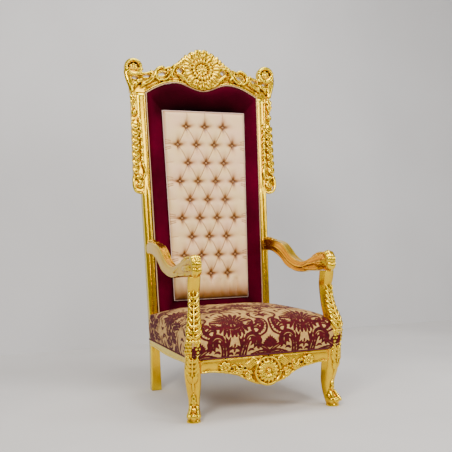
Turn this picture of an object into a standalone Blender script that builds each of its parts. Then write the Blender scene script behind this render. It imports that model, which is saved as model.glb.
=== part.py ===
# A tall baroque armchair: a carved and gilded frame, a tufted back and a tight upholstered seat.
# Metres, +Z up. The chair faces -Y and the origin is on the floor, in the middle of its box.
import math

import bmesh
import bpy
from mathutils import Matrix, Vector

# Clearance left between pieces that touch
GAP = 0.0003

# Where the legs stand
FRONT_LEG_X = 0.331
FRONT_LEG_Y = -0.356
SEAT_DEPTH_OF_FRAME = 0.666
POST_FRONT_Y = FRONT_LEG_Y + SEAT_DEPTH_OF_FRAME

# Back posts, which are also the rear legs
POST_INNER_X = 0.292
POST_WIDTH = 0.044
POST_DEPTH = 0.042
REAR_FOOT_WIDTH = 0.050
POST_BEAD = 0.004
BACK_RAKE = math.radians(3.4)
BACK_FLARE = 0.021

# Seat rails and seat
RAIL_BOTTOM_Z = 0.236
RAIL_TOP_Z = 0.262
RAIL_THICKNESS = 0.030
SIDE_RAIL_OUTER_X = 0.342
LEG_INNER_X = 0.295
LEG_BACK_Y = FRONT_LEG_Y + 0.034
SEAT_CROWN_Z = 0.446
SEAT_SIDE_BULGE = 0.012
SEAT_FRONT_BULGE = 0.034
SEAT_FRONT_Y = FRONT_LEG_Y - 0.036
SEAT_PIPING_RADIUS = 0.004
BACK_BOTTOM_Z = RAIL_TOP_Z + GAP

# Most triangles that each carved piece keeps
CREST_FACES = 2350
WING_FACES = 640
LEG_FACES = 720
ARM_FACES = 420
APRON_FACES = 1150

# Front leg and arm
LEG_TOP_Z = 0.615
ARM_BACK_TOP_Z = 0.766
ARM_DIP_Z = 0.652
ARM_KNUCKLE_TOP_Z = 0.707
ARM_WIDTH = 0.050
ARM_FRONT_Y = FRONT_LEG_Y - 0.078

# Upholstered back
ARCH_CORNER_Z = 1.555
ARCH_SHOULDER_Z = 1.617
ARCH_DIP_Z = 1.577
ARCH_SHOULDER_X = 0.150
ARCH_STEPS = 16
PANEL_BOTTOM_Z = 0.455
PANEL_TOP_Z = 1.458
PANEL_BOTTOM_X = 0.206
PANEL_TOP_X = 0.232
BORDER_RISE = 0.024
SEAM_RISE = 0.008
SEAM_LAND = 0.008
PANEL_RISE = 0.030
TUFT_DEPTH = 0.020
PIPING_RADIUS = 0.0035
OUTSIDE_BACK_THICKNESS = 0.005

# Tufting
TUFT_ROWS = 9
TUFT_COLUMN_STEP = 0.104
TUFT_ROW_STEP = 0.0985
TUFT_TOP_ROW_Z = 1.376
BUTTON_RADIUS = 0.009
BUTTON_HEIGHT = 0.006

# Crest rail, finials and side wings
CREST_JOINT_Z = 1.552
CREST_THICKNESS = 0.034
ROSETTE_Z = 1.688
ROSETTE_RADIUS = 0.112
ROSETTE_RELIEF = 0.034
FINIAL_X = 0.378
FINIAL_Z = 1.682
FINIAL_RADIUS = 0.050
WING_BOTTOM_Z = 1.020
WING_OUTER_X = 0.398
WING_THICKNESS = 0.026

# Apron
MEDALLION_Z = 0.192
MEDALLION_HALF_WIDTH = 0.062
MEDALLION_HALF_HEIGHT = 0.068
APRON_END_BOTTOM_Z = 0.204
APRON_FLOWER_X = 0.200


def back_y(z):
    """Front plane of the back posts at height z: upright below the seat, raked above it."""
    return POST_FRONT_Y + max(0.0, z - BACK_BOTTOM_Z) * math.tan(BACK_RAKE)


def post_inner_x(z):
    return POST_INNER_X + max(0.0, z - BACK_BOTTOM_Z) * BACK_FLARE


def on_back(x, z, forward=0.0):
    """A point of the back: forward is the distance in front of the posts' plane."""
    return Vector((x, back_y(z) - forward, z))


def arch_z(x):
    """Edge of the upholstery under the crest rail: a dip in the middle and a rounded shoulder."""
    x = abs(x)
    if x < ARCH_SHOULDER_X:
        rise = (1 - math.cos(math.pi * x / ARCH_SHOULDER_X)) / 2
        return ARCH_DIP_Z + (ARCH_SHOULDER_Z - ARCH_DIP_Z) * rise
    share = (x - ARCH_SHOULDER_X) / (post_inner_x(ARCH_CORNER_Z) - ARCH_SHOULDER_X)
    return ARCH_CORNER_Z + (ARCH_SHOULDER_Z - ARCH_CORNER_Z) * math.cos(math.pi / 2 * min(1.0, share))


def new_material(name, colour, metallic, roughness):
    material = bpy.data.materials.new(name)
    material.use_nodes = True
    shader = material.node_tree.nodes["Principled BSDF"]
    shader.inputs["Base Color"].default_value = (*colour, 1.0)
    shader.inputs["Metallic"].default_value = metallic
    shader.inputs["Roughness"].default_value = roughness
    material.diffuse_color = (*colour, 1.0)
    return material


def new_collection(name):
    collection = bpy.data.collections.new(name)
    bpy.context.scene.collection.children.link(collection)
    return collection


for leftover in list(bpy.data.objects):
    bpy.data.objects.remove(leftover, do_unlink=True)

chair = new_collection("baroque_armchair")
cutters = new_collection("cutters")
gold = new_material("gilded_wood", (0.78, 0.53, 0.12), 1.0, 0.3)
velvet = new_material("burgundy_velvet", (0.09, 0.004, 0.018), 0.0, 0.8)
satin = new_material("champagne_satin", (0.75, 0.62, 0.45), 0.0, 0.45)
damask = new_material("damask", (0.50, 0.32, 0.20), 0.0, 0.6)
cord_white = new_material("satin_piping", (0.80, 0.70, 0.66), 0.0, 0.5)
cord_dark = new_material("dark_piping", (0.08, 0.02, 0.03), 0.0, 0.6)


def add_body(name, bm, material=gold, home=chair):
    mesh = bpy.data.meshes.new(name)
    bm.to_mesh(mesh)
    bm.free()
    mesh.materials.append(material)
    body = bpy.data.objects.new(name, mesh)
    home.objects.link(body)
    return body


def loft(name, rings, start_tip=None, end_tip=None, material=gold):
    """A closed body through rings of equal count, each end flat or drawn to a tip."""
    bm = bmesh.new()
    rows = [[bm.verts.new(point) for point in ring] for ring in rings]
    count = len(rows[0])
    for lower, upper in zip(rows, rows[1:]):
        for i in range(count):
            j = (i + 1) % count
            bm.faces.new((lower[i], lower[j], upper[j], upper[i]))
    for row, tip in ((rows[0], start_tip), (rows[-1], end_tip)):
        if tip is None:
            bm.faces.new(row)
            continue
        point = bm.verts.new(tip)
        for i in range(count):
            bm.faces.new((row[i], row[(i + 1) % count], point))
    bmesh.ops.recalc_face_normals(bm, faces=bm.faces)
    return add_body(name, bm, material)


def ring_loft(name, loops, material):
    """A closed frame through loops that follow each other round its section."""
    bm = bmesh.new()
    rows = [[bm.verts.new(point) for point in loop] for loop in loops]
    count = len(rows[0])
    for k, row in enumerate(rows):
        following = rows[(k + 1) % len(rows)]
        for i in range(count):
            j = (i + 1) % count
            bm.faces.new((row[i], row[j], following[j], following[i]))
    bmesh.ops.recalc_face_normals(bm, faces=bm.faces)
    return add_body(name, bm, material)


def box(name, low, high, material=gold, home=chair):
    bm = bmesh.new()
    bmesh.ops.create_cube(bm, size=1.0)
    size = [high[i] - low[i] for i in range(3)]
    middle = [(high[i] + low[i]) / 2 for i in range(3)]
    bmesh.ops.scale(bm, vec=size, verts=bm.verts)
    bmesh.ops.translate(bm, vec=middle, verts=bm.verts)
    return add_body(name, bm, material, home)


def settle(body):
    """Turn a body's modifiers into its own mesh."""
    depsgraph = bpy.context.evaluated_depsgraph_get()
    mesh = bpy.data.meshes.new_from_object(body.evaluated_get(depsgraph))
    body.modifiers.clear()
    body.data = mesh


def curve_to_body(curve_object, material):
    """A curve with filled caps made a welded mesh body."""
    depsgraph = bpy.context.evaluated_depsgraph_get()
    mesh = bpy.data.meshes.new_from_object(curve_object.evaluated_get(depsgraph))
    bm = bmesh.new()
    bm.from_mesh(mesh)
    bmesh.ops.remove_doubles(bm, verts=bm.verts, dist=1e-5)
    bmesh.ops.recalc_face_normals(bm, faces=bm.faces)
    name = curve_object.name
    bpy.data.objects.remove(curve_object, do_unlink=True)
    bpy.data.meshes.remove(mesh)
    return add_body(name, bm, material)


def tube(name, points, radius, taper=None, closed=False, sides=1, material=gold):
    """A round rod along points. taper gives each point's share of the radius."""
    curve = bpy.data.curves.new(name, "CURVE")
    curve.dimensions = "3D"
    curve.bevel_depth = radius
    curve.bevel_resolution = sides
    curve.use_fill_caps = True
    spline = curve.splines.new("POLY")
    spline.points.add(len(points) - 1)
    spline.use_cyclic_u = closed
    for i, point in enumerate(points):
        spline.points[i].co = (*point, 1.0)
        spline.points[i].radius = taper[i] if taper else 1.0
    body = bpy.data.objects.new(name, curve)
    chair.objects.link(body)
    return curve_to_body(body, material)


def plate(name, outline, holes, back, front, place, material=gold, home=chair):
    """A flat outline with holes in it, given thickness and laid on a surface by place."""
    curve = bpy.data.curves.new(name, "CURVE")
    curve.dimensions = "2D"
    curve.fill_mode = "BOTH"
    curve.extrude = (front - back) / 2
    for loop in [outline] + holes:
        spline = curve.splines.new("POLY")
        spline.points.add(len(loop) - 1)
        spline.use_cyclic_u = True
        for i, (x, z) in enumerate(loop):
            spline.points[i].co = (x, z, 0.0, 1.0)
    flat = bpy.data.objects.new(name, curve)
    chair.objects.link(flat)
    body = curve_to_body(flat, material)
    middle = (front + back) / 2
    for vertex in body.data.vertices:
        x, z, forward = vertex.co
        vertex.co = place(x, z, middle + forward)
    bm = bmesh.new()
    bm.from_mesh(body.data)
    bmesh.ops.recalc_face_normals(bm, faces=bm.faces)
    bm.to_mesh(body.data)
    bm.free()
    if home is not chair:
        chair.objects.unlink(body)
        home.objects.link(body)
    return body


def leaf(name, spine, outward, half_width, rise, sink=0.010):
    """An acanthus leaf from root to tip: two swelling halves, a midrib groove and a lobed edge."""
    rings = []
    last = len(spine) - 1
    for i in range(1, last):
        share = i / last
        width = half_width * math.sin(math.pi * share ** 0.8) * (1.12 if i % 2 else 0.86)
        lift = outward[i].normalized()
        along = (spine[i + 1] - spine[i - 1]).normalized()
        side = along.cross(lift).normalized()
        height = rise * (1.0 if i % 2 else 0.75)
        section = ((-1.0, 0.0), (-0.55, height), (0.0, height * 0.4), (0.55, height), (1.0, 0.0), (0.0, -sink))
        rings.append([spine[i] + side * (a * width) + lift * b for a, b in section])
    return loft(name, rings, spine[0] - outward[0] * sink * 0.5, spine[-1] - outward[-1] * sink * 0.2)


def flat_leaf(name, points, place, half_width, rise, sink=0.010):
    """A leaf on a flat carved face, through points (across, up) with its lift given by place."""
    spine = [place(x, z, 0.0) for x, z in points]
    outward = [place(x, z, 1.0) - place(x, z, 0.0) for x, z in points]
    return leaf(name, spine, outward, half_width, rise, sink)


def bend(start, end, bow, steps=5):
    """Points (across, up) from start to end that bow to the left by a share of their distance."""
    across = end[0] - start[0]
    up = end[1] - start[1]
    points = []
    for i in range(steps + 1):
        share = i / steps
        out = bow * math.sin(math.pi * share)
        points.append((start[0] + across * share - up * out, start[1] + up * share + across * out))
    return points


def volute(name, centre, radius, turns, start, thickness, place, steps=9):
    """A scroll that winds inwards from its start angle."""
    count = int(steps * abs(turns)) + 1
    points = []
    taper = []
    for i in range(count):
        share = i / (count - 1)
        angle = start + math.tau * turns * share
        reach = radius * (1 - 0.82 * share)
        points.append(place(centre[0] + reach * math.cos(angle), centre[1] + reach * math.sin(angle),
                            thickness * (0.3 + 0.6 * share)))
        taper.append(1.0 - 0.25 * share)
    return tube(name, points, thickness, taper)


def relief_disc(name, centre, reach, lobes, outline_depth, height, back, place, per_lobe=4, rings=5):
    """A round relief with a boss, a ring of small petals and a rim of swelling gadroons."""
    spokes = lobes * per_lobe
    bm = bmesh.new()
    rows = []
    for r in range(1, rings + 1):
        share = r / rings
        row = []
        for k in range(spokes):
            angle = math.tau * (k + 0.5) / spokes
            swell = abs(math.sin(lobes * angle / 2))
            edge = 1 - outline_depth * (1 - swell) * share
            dish = 0.35 + 0.65 * math.sin(math.pi * min(1.0, share * 0.93)) ** 0.7
            lift = height * dish * (0.55 + 0.45 * swell)
            if r == rings:
                lift = height * 0.1
            row.append(bm.verts.new(place(centre[0] + reach[0] * share * edge * math.cos(angle),
                                          centre[1] + reach[1] * share * edge * math.sin(angle), lift)))
        rows.append(row)
    boss = bm.verts.new(place(centre[0], centre[1], height * 0.95))
    for k in range(spokes):
        bm.faces.new((boss, rows[0][k], rows[0][(k + 1) % spokes]))
    behind = [bm.verts.new(place(*spot)) for spot in
              [(centre[0] + reach[0] * 0.9 * math.cos(math.tau * (k + 0.5) / spokes),
                centre[1] + reach[1] * 0.9 * math.sin(math.tau * (k + 0.5) / spokes), -back)
               for k in range(spokes)]]
    for inner, outer in zip(rows + [None], rows[1:] + [behind]):
        if inner is None:
            continue
        for k in range(spokes):
            j = (k + 1) % spokes
            bm.faces.new((inner[k], outer[k], outer[j], inner[j]))
    bm.faces.new(behind)
    bmesh.ops.recalc_face_normals(bm, faces=bm.faces)
    return add_body(name, bm)


def ball(name, middle, radius, segments=8, rings=6):
    bm = bmesh.new()
    bmesh.ops.create_uvsphere(bm, u_segments=segments, v_segments=rings, radius=radius)
    bmesh.ops.translate(bm, vec=middle, verts=bm.verts)
    return add_body(name, bm)


def mirrored(body, name):
    """A copy on the other side of the chair."""
    bm = bmesh.new()
    bm.from_mesh(body.data)
    bmesh.ops.scale(bm, vec=(-1.0, 1.0, 1.0), verts=bm.verts)
    bmesh.ops.reverse_faces(bm, faces=bm.faces)
    return add_body(name, bm, body.data.materials[0])


def both_sides(bodies):
    return bodies + [mirrored(body, body.name + "_other") for body in bodies]


def fill_voids(body):
    """Delete the closed hollows that a union leaves inside solid wood."""
    bm = bmesh.new()
    bm.from_mesh(body.data)
    waiting = set(bm.faces)
    while waiting:
        front = [waiting.pop()]
        island = []
        while front:
            face = front.pop()
            island.append(face)
            for edge in face.edges:
                for other in edge.link_faces:
                    if other in waiting:
                        waiting.remove(other)
                        front.append(other)
        volume = 0.0
        for face in island:
            points = [vertex.co for vertex in face.verts]
            for b, c in zip(points[1:], points[2:]):
                volume += points[0].dot(b.cross(c)) / 6
        if volume < 0:
            bmesh.ops.delete(bm, geom=island, context="FACES")
    bm.to_mesh(body.data)
    bm.free()


def slim(body, most):
    """Thin out a carved body's triangles and keep its form."""
    triangles = sum(len(polygon.vertices) - 2 for polygon in body.data.polygons)
    if triangles <= most:
        return
    thin = body.modifiers.new("thin", "DECIMATE")
    thin.decimate_type = "COLLAPSE"
    thin.use_collapse_triangulate = True
    thin.ratio = most / triangles
    settle(body)


def fuse(body, ornaments):
    """Join overlapping carved forms into one solid."""
    group = new_collection(body.name + "_carving")
    for item in ornaments:
        chair.objects.unlink(item)
        group.objects.link(item)
    join = body.modifiers.new("carving", "BOOLEAN")
    join.operation = "UNION"
    join.solver = "EXACT"
    join.operand_type = "COLLECTION"
    join.collection = group
    settle(body)
    for item in ornaments:
        bpy.data.objects.remove(item, do_unlink=True)
    bpy.data.collections.remove(group)
    fill_voids(body)


def cut(body, cutter):
    trim = body.modifiers.new("trim", "BOOLEAN")
    trim.operation = "DIFFERENCE"
    trim.solver = "EXACT"
    trim.object = cutter
    settle(body)


def hide_cutter(cutter):
    cutter.hide_render = True
    cutter.display_type = "WIRE"
    return cutter


def cutter_box(name, low, high):
    return hide_cutter(box(name, low, high, home=cutters))


# Space kept clear for the upholstered back and for the posts, used to trim the crest rail
def crest_trim():
    corner = post_inner_x(ARCH_CORNER_Z)
    far = 0.6
    arch = [corner * (1 - 2 * i / ARCH_STEPS) for i in range(ARCH_STEPS + 1)]
    outline = [(far, CREST_JOINT_Z + GAP), (corner, CREST_JOINT_Z + GAP)]
    outline += [(x, max(arch_z(x), CREST_JOINT_Z) + GAP) for x in arch]
    outline += [(-corner, CREST_JOINT_Z + GAP), (-far, CREST_JOINT_Z + GAP), (-far, 1.2), (far, 1.2)]
    cleaned = [p for i, p in enumerate(outline) if i == 0 or p != outline[i - 1]]
    return hide_cutter(plate("crest_trim", cleaned, [], -0.3, 0.3, on_back, home=cutters))


def post_section(z):
    """Section of a back post: plain below the seat, with two beads and a groove above it."""
    inner = post_inner_x(z)
    width = POST_WIDTH
    if z < RAIL_BOTTOM_Z:
        width = REAR_FOOT_WIDTH + (POST_WIDTH - REAR_FOOT_WIDTH) * z / RAIL_BOTTOM_Z
        inner = POST_INNER_X + POST_WIDTH - width
    bead = POST_BEAD if z > BACK_BOTTOM_Z else 0.0
    front = [(0.02, 0.0), (0.24, bead), (0.46, 0.0), (0.5, -bead), (0.54, 0.0), (0.76, bead), (0.98, 0.0)]
    points = [on_back(inner + width * share, z, forward) for share, forward in front]
    points.append(on_back(inner + width, z, -POST_DEPTH))
    points.append(on_back(inner, z, -POST_DEPTH))
    return points


def make_back_posts():
    heights = [0.0, RAIL_BOTTOM_Z, BACK_BOTTOM_Z, BACK_BOTTOM_Z + 0.01, WING_BOTTOM_Z, CREST_JOINT_Z]
    post = loft("back_post_right", [post_section(z) for z in heights])
    outer_low = post_inner_x(WING_BOTTOM_Z) + POST_WIDTH
    outer_high = post_inner_x(CREST_JOINT_Z) + POST_WIDTH
    length = CREST_JOINT_Z - WING_BOTTOM_Z
    scallops = 9
    edge = []
    for i in range(scallops * 3 + 1):
        share = i / (scallops * 3)
        wave = abs(math.sin(math.pi * scallops * share)) * 0.006
        edge.append((WING_OUTER_X - 0.012 + 0.008 * share + wave, WING_BOTTOM_Z + 0.03 + (length - 0.03) * share))
    outline = [(outer_low - 0.012, WING_BOTTOM_Z), (outer_low + 0.022, WING_BOTTOM_Z)] + edge
    outline.append((outer_high - 0.012, CREST_JOINT_Z))
    wing = plate("wing", outline, [], -WING_THICKNESS, 0.002, on_back)
    middle = (WING_OUTER_X + outer_low) / 2 + 0.001
    carving = []
    # Overlapping husks that hang down the wing, each tucked under the one above
    husks = 8
    husk_length = length * 0.80 / husks
    for i in range(husks):
        top = CREST_JOINT_Z - 0.012 - length * 0.045 - i * husk_length
        lean = 0.010 * (-1) ** i
        points = [(middle + lean * s, top - husk_length * 1.45 * s) for s in (0, 0.2, 0.4, 0.6, 0.8, 1.0)]
        carving.append(flat_leaf("husk", points, on_back, 0.0225, 0.014))
    carving.append(volute("wing_scroll", (middle - 0.004, WING_BOTTOM_Z + 0.055), 0.027, 1.35,
                          math.radians(-100), 0.0075, on_back))
    carving.append(ball("wing_bead", on_back(middle, CREST_JOINT_Z - 0.03, 0.004), 0.017))
    fuse(wing, carving)
    slim(wing, WING_FACES)
    fuse(post, [wing])
    top_trim = cutter_box("post_trim", (-0.6, 0.0, CREST_JOINT_Z), (0.6, 0.6, CREST_JOINT_Z + 0.2))
    cut(post, top_trim)
    mirrored(post, "back_post_left")


def crest_outline():
    """Right half of the crest rail's silhouette, from the middle of its top to its foot."""
    rise = ROSETTE_Z - ARCH_DIP_Z
    top = [(0.0, 0.70), (0.072, 0.66), (0.105, 0.50), (0.135, 0.28), (0.165, 0.13), (0.205, 0.06),
           (0.250, -0.05), (0.285, -0.20), (0.325, -0.26)]
    outline = [(x, ROSETTE_Z + rise * share) for x, share in top]
    for i in range(9):
        angle = math.radians(200 - 220 * i / 8)
        outline.append((FINIAL_X + FINIAL_RADIUS * 0.86 * math.cos(angle),
                        FINIAL_Z + FINIAL_RADIUS * 0.86 * math.sin(angle)))
    outline.append((WING_OUTER_X + 0.004, (FINIAL_Z + CREST_JOINT_Z) / 2))
    outline.append((WING_OUTER_X + 0.001, CREST_JOINT_Z + GAP))
    return outline


def oval(centre, half_width, half_height, tilt=0.0, count=9):
    points = []
    for i in range(count):
        angle = -math.tau * i / count
        x = half_width * math.cos(angle)
        z = half_height * math.sin(angle)
        points.append((centre[0] + x * math.cos(tilt) - z * math.sin(tilt),
                       centre[1] + x * math.sin(tilt) + z * math.cos(tilt)))
    return points


def make_crest_rail():
    half = crest_outline()
    outline = half + [(-x, z) for x, z in reversed(half[1:])]
    # Pierced openings between the ribbon and the moulding beside the velvet
    holes = []
    for x, z, w, h, tilt in ((0.127, 1.683, 0.013, 0.010, -0.6), (0.222, 1.656, 0.023, 0.009, -0.2),
                             (0.299, 1.640, 0.019, 0.007, -0.25), (0.366, 1.628, 0.014, 0.006, 0.1)):
        holes.append(oval((x, z), w, h, tilt))
        holes.append(oval((-x, z), w, h, -tilt))
    # The velvet edge is cut out of the plate, so its lower side is the arch itself
    rail = plate("crest_rail", outline, holes, -CREST_THICKNESS, 0.0, on_back)
    corner = post_inner_x(ARCH_CORNER_Z)
    lip = [on_back(x, arch_z(x) + 0.0065, 0.003) for x in [corner * (1 - i / 10) for i in range(21)]]
    carving = [
        tube("lip", lip, 0.006),
        relief_disc("rosette", (0.0, ROSETTE_Z), (ROSETTE_RADIUS, ROSETTE_RADIUS), 14, 0.10,
                    ROSETTE_RELIEF, 0.020, on_back, rings=6),
    ]
    side = [
        relief_disc("finial", (FINIAL_X, FINIAL_Z), (FINIAL_RADIUS, FINIAL_RADIUS), 9, 0.12, 0.024, 0.020,
                    on_back, per_lobe=3, rings=4),
        volute("crest_scroll", (0.150, 1.672), 0.034, 1.2, math.radians(120), 0.008, on_back),
        volute("crest_scroll_outer", (0.262, 1.652), 0.026, -1.2, math.radians(10), 0.0065, on_back),
    ]
    for start, end, bow, width in (
            ((0.095, 1.630), (0.165, 1.628), 0.10, 0.012), ((0.090, 1.735), (0.150, 1.700), -0.15, 0.016),
            ((0.165, 1.640), (0.240, 1.628), 0.12, 0.012), ((0.175, 1.690), (0.245, 1.680), -0.12, 0.014),
            ((0.245, 1.622), (0.320, 1.600), 0.10, 0.012), ((0.255, 1.676), (0.330, 1.655), -0.12, 0.013),
            ((0.330, 1.640), (0.395, 1.610), 0.15, 0.013), ((0.345, 1.600), (0.375, 1.560), 0.10, 0.016)):
        side.append(flat_leaf("crest_leaf", bend(start, end, bow), on_back, width, 0.013))
    fuse(rail, carving + both_sides(side))
    slim(rail, CREST_FACES)
    cut(rail, crest_trim())


def rounded_square(middle, half_x, half_y, z, roundness=0.35):
    """A ring of twelve points: a square with cut corners."""
    a, b = 1.0, 1.0 - roundness
    corners = [(a, -b), (a, b), (b, a), (-b, a), (-a, b), (-a, -b), (-b, -a), (b, -a)]
    sides = [(a, 0.0), (0.0, a), (-a, 0.0), (0.0, -a)]
    order = [corners[0], sides[0], corners[1], corners[2], sides[1], corners[3],
             corners[4], sides[2], corners[5], corners[6], sides[3], corners[7]]
    return [Vector((middle[0] + u * half_x, middle[1] + v * half_y, z)) for u, v in order]


# The front leg from foot to arm: share of its height, step out, step back, width
LEG_PROFILE = ((0.000, 0.002, 0.000, 0.050), (0.040, 0.000, -0.006, 0.060), (0.085, -0.006, 0.008, 0.050),
               (0.135, -0.009, 0.015, 0.050), (0.190, -0.008, 0.013, 0.058), (0.260, -0.004, 0.004, 0.068),
               (0.340, 0.000, -0.002, 0.072), (0.430, 0.001, -0.012, 0.070), (0.520, 0.002, -0.026, 0.068),
               (0.590, 0.002, -0.033, 0.067), (0.650, -0.002, -0.030, 0.064), (0.730, -0.009, -0.012, 0.056),
               (0.810, -0.013, -0.001, 0.050), (0.890, -0.014, 0.002, 0.052), (0.910, -0.014, 0.002, 0.062),
               (0.935, -0.013, 0.000, 0.062), (0.950, -0.013, -0.002, 0.054), (1.000, -0.013, -0.016, 0.058))


def leg_at(share):
    """Middle and width of the front leg at a share of its height."""
    for low, high in zip(LEG_PROFILE, LEG_PROFILE[1:]):
        if low[0] <= share <= high[0]:
            t = (share - low[0]) / (high[0] - low[0])
            out, behind, width = (low[k] + (high[k] - low[k]) * t for k in (1, 2, 3))
            return FRONT_LEG_X + out, FRONT_LEG_Y + behind, width
    raise ValueError(share)


def leg_surface(share, heading):
    """A point on the leg's skin in a heading (0 is straight ahead, positive is outwards)."""
    x, y, width = leg_at(share)
    lift = Vector((math.sin(heading), -math.cos(heading), 0.0))
    return Vector((x, y, share * LEG_TOP_Z)) + lift * (width * 0.48), lift


def leg_leaf(root, tip, heading, half_width, rise, steps=6):
    places = [leg_surface(root + (tip - root) * i / steps, heading) for i in range(steps + 1)]
    return leaf("leg_leaf", [p for p, _ in places], [n for _, n in places], half_width, rise)


def make_front_legs():
    rings = []
    for share, _, _, width in LEG_PROFILE:
        x, y, _ = leg_at(share)
        rings.append(rounded_square((x, y), width / 2, width / 2, share * LEG_TOP_Z))
    leg = loft("front_leg_right", rings)
    outer = math.radians(42)
    carving = [leg_leaf(0.77, 0.38, outer, 0.030, 0.013), leg_leaf(0.74, 0.44, -outer, 0.026, 0.012),
               leg_leaf(0.70, 0.50, math.radians(115), 0.020, 0.009),
               leg_leaf(0.42, 0.18, outer, 0.022, 0.010), leg_leaf(0.40, 0.22, -outer, 0.018, 0.009),
               leg_leaf(0.99, 0.78, outer, 0.020, 0.009), leg_leaf(0.99, 0.80, -outer, 0.018, 0.008),
               leg_leaf(0.16, 0.03, 0.0, 0.020, 0.014)]
    toe, _ = leg_surface(0.045, 0.0)
    carving.append(ball("toe", toe + Vector((0.0, 0.004, 0.0)), 0.021))
    fuse(leg, carving)
    slim(leg, LEG_FACES)
    cut(leg, cutter_box("leg_inner_trim", (-0.5, -0.6, APRON_END_BOTTOM_Z - 0.004),
                        (LEG_INNER_X, 0.6, SEAT_CROWN_Z)))
    cut(leg, cutter_box("leg_back_trim", (-0.5, LEG_BACK_Y, RAIL_BOTTOM_Z - 0.02), (0.6, 0.6, SEAT_CROWN_Z)))
    cut(leg, cutter_box("floor_trim", (-0.6, -0.7, -0.2), (0.6, 0.6, 0.0)))
    cut(leg, cutter_box("arm_trim", (-0.6, -0.7, LEG_TOP_Z), (0.6, 0.6, 1.0)))
    mirrored(leg, "front_leg_left")


def arm_top(share):
    """Top edge of the arm along its length, share 0 at the knuckle and 1 at the post."""
    points = ((0.0, ARM_KNUCKLE_TOP_Z - 0.012), (0.04, ARM_KNUCKLE_TOP_Z), (0.15, ARM_KNUCKLE_TOP_Z - 0.014),
              (0.25, ARM_DIP_Z + 0.020), (0.36, ARM_DIP_Z), (0.46, ARM_DIP_Z + 0.004),
              (0.545, ARM_DIP_Z + 0.028), (0.61, ARM_DIP_Z + 0.060), (0.67, ARM_BACK_TOP_Z - 0.028),
              (0.76, ARM_BACK_TOP_Z - 0.012), (0.88, ARM_BACK_TOP_Z - 0.006), (1.0, ARM_BACK_TOP_Z))
    return interpolate(points, share)


def arm_height(share):
    """Depth of the arm from top to underside."""
    points = ((0.0, 0.060), (0.05, 0.092), (0.12, 0.086), (0.20, 0.074), (0.30, 0.056), (0.42, 0.054),
              (0.52, 0.064), (0.62, 0.088), (0.72, 0.078), (0.82, 0.062), (0.90, 0.060), (1.0, 0.070))
    return interpolate(points, share)


def interpolate(points, share):
    for (a, low), (b, high) in zip(points, points[1:]):
        if share <= b:
            return low + (high - low) * (share - a) / (b - a)
    return points[-1][1]


def arm_middle_x(share):
    back = post_inner_x(ARM_BACK_TOP_Z) + POST_WIDTH / 2
    front = FRONT_LEG_X - 0.013
    return front + (back - front) * share + 0.006 * math.sin(math.pi * share)


def arm_half_width(share):
    """Half width of the arm, which narrows to stay on the face of the post."""
    return interpolate(((0.0, ARM_WIDTH * 0.31), (0.03, ARM_WIDTH * 0.5), (0.80, ARM_WIDTH * 0.5),
                        (1.0, POST_WIDTH * 0.5 - 0.0015)), share)


def make_arms():
    stations = (0.0, 0.03, 0.09, 0.16, 0.24, 0.32, 0.40, 0.48, 0.55, 0.61, 0.67, 0.74, 0.82, 0.91, 1.0)
    length = back_y(ARM_BACK_TOP_Z) - ARM_FRONT_Y
    rings = []
    for share in stations:
        top = arm_top(share)
        height = arm_height(share)
        x = arm_middle_x(share)
        half = arm_half_width(share)
        section = ((half, -height * 0.78), (half, -height * 0.30), (half * 0.72, -height * 0.06), (0.0, 0.0),
                   (-half * 0.72, -height * 0.06), (-half, -height * 0.30), (-half, -height * 0.78),
                   (-half * 0.72, -height), (half * 0.72, -height))
        ring = []
        for across, down in section:
            ring.append(Vector((x + across, ARM_FRONT_Y + length * share, top + down)))
        rings.append(ring)
    arm = loft("arm_right", rings)

    def on_top(share, across, lift=0.0):
        return Vector((arm_middle_x(share) + across, ARM_FRONT_Y + length * share, arm_top(share) + lift))

    up = Vector((0.0, 0.0, 1.0))
    carving = []
    for root, tip in ((0.30, 0.07), (0.95, 0.66)):
        spine = [on_top(root + (tip - root) * i / 6, 0.0, -0.003) for i in range(7)]
        carving.append(leaf("arm_leaf", spine, [up] * 7, 0.020, 0.009))
    # Leaves wrapped down both sides of the knuckle
    for side in (-1, 1):
        spine = []
        for i in range(6):
            share = 0.20 - 0.17 * i / 5
            low = arm_top(share) - arm_height(share) * (0.30 + 0.10 * i)
            spine.append(Vector((arm_middle_x(share) + side * ARM_WIDTH * 0.47,
                                 ARM_FRONT_Y + length * share, low)))
        carving.append(leaf("knuckle_leaf", spine, [Vector((side, 0.0, 0.0))] * 6, 0.022, 0.007))
    fuse(arm, carving)
    slim(arm, ARM_FACES)
    post_face = [(0.0, 0.5), (0.6, 0.5), (0.6, 1.0), (0.0, 1.0)]
    cut(arm, hide_cutter(plate("arm_end_trim", post_face, [], -0.2, POST_BEAD + GAP, on_back, home=cutters)))
    leg_x, leg_y, width = leg_at(1.0)
    # A flat seat for the top of the leg
    reach = width / 2 + 0.012
    cut(arm, cutter_box("arm_seat", (leg_x - reach, leg_y - reach, LEG_TOP_Z - 0.2),
                        (leg_x + reach, leg_y + reach, LEG_TOP_Z + GAP)))
    mirrored(arm, "arm_left")


def on_apron(x, z, forward=0.0):
    """A point of the front rail's face, which bows forward a little in the middle."""
    share = min(1.0, abs(x) / LEG_INNER_X)
    return Vector((x, SEAT_FRONT_Y + 0.006 - 0.010 * math.cos(math.pi / 2 * share) - forward, z))


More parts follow.
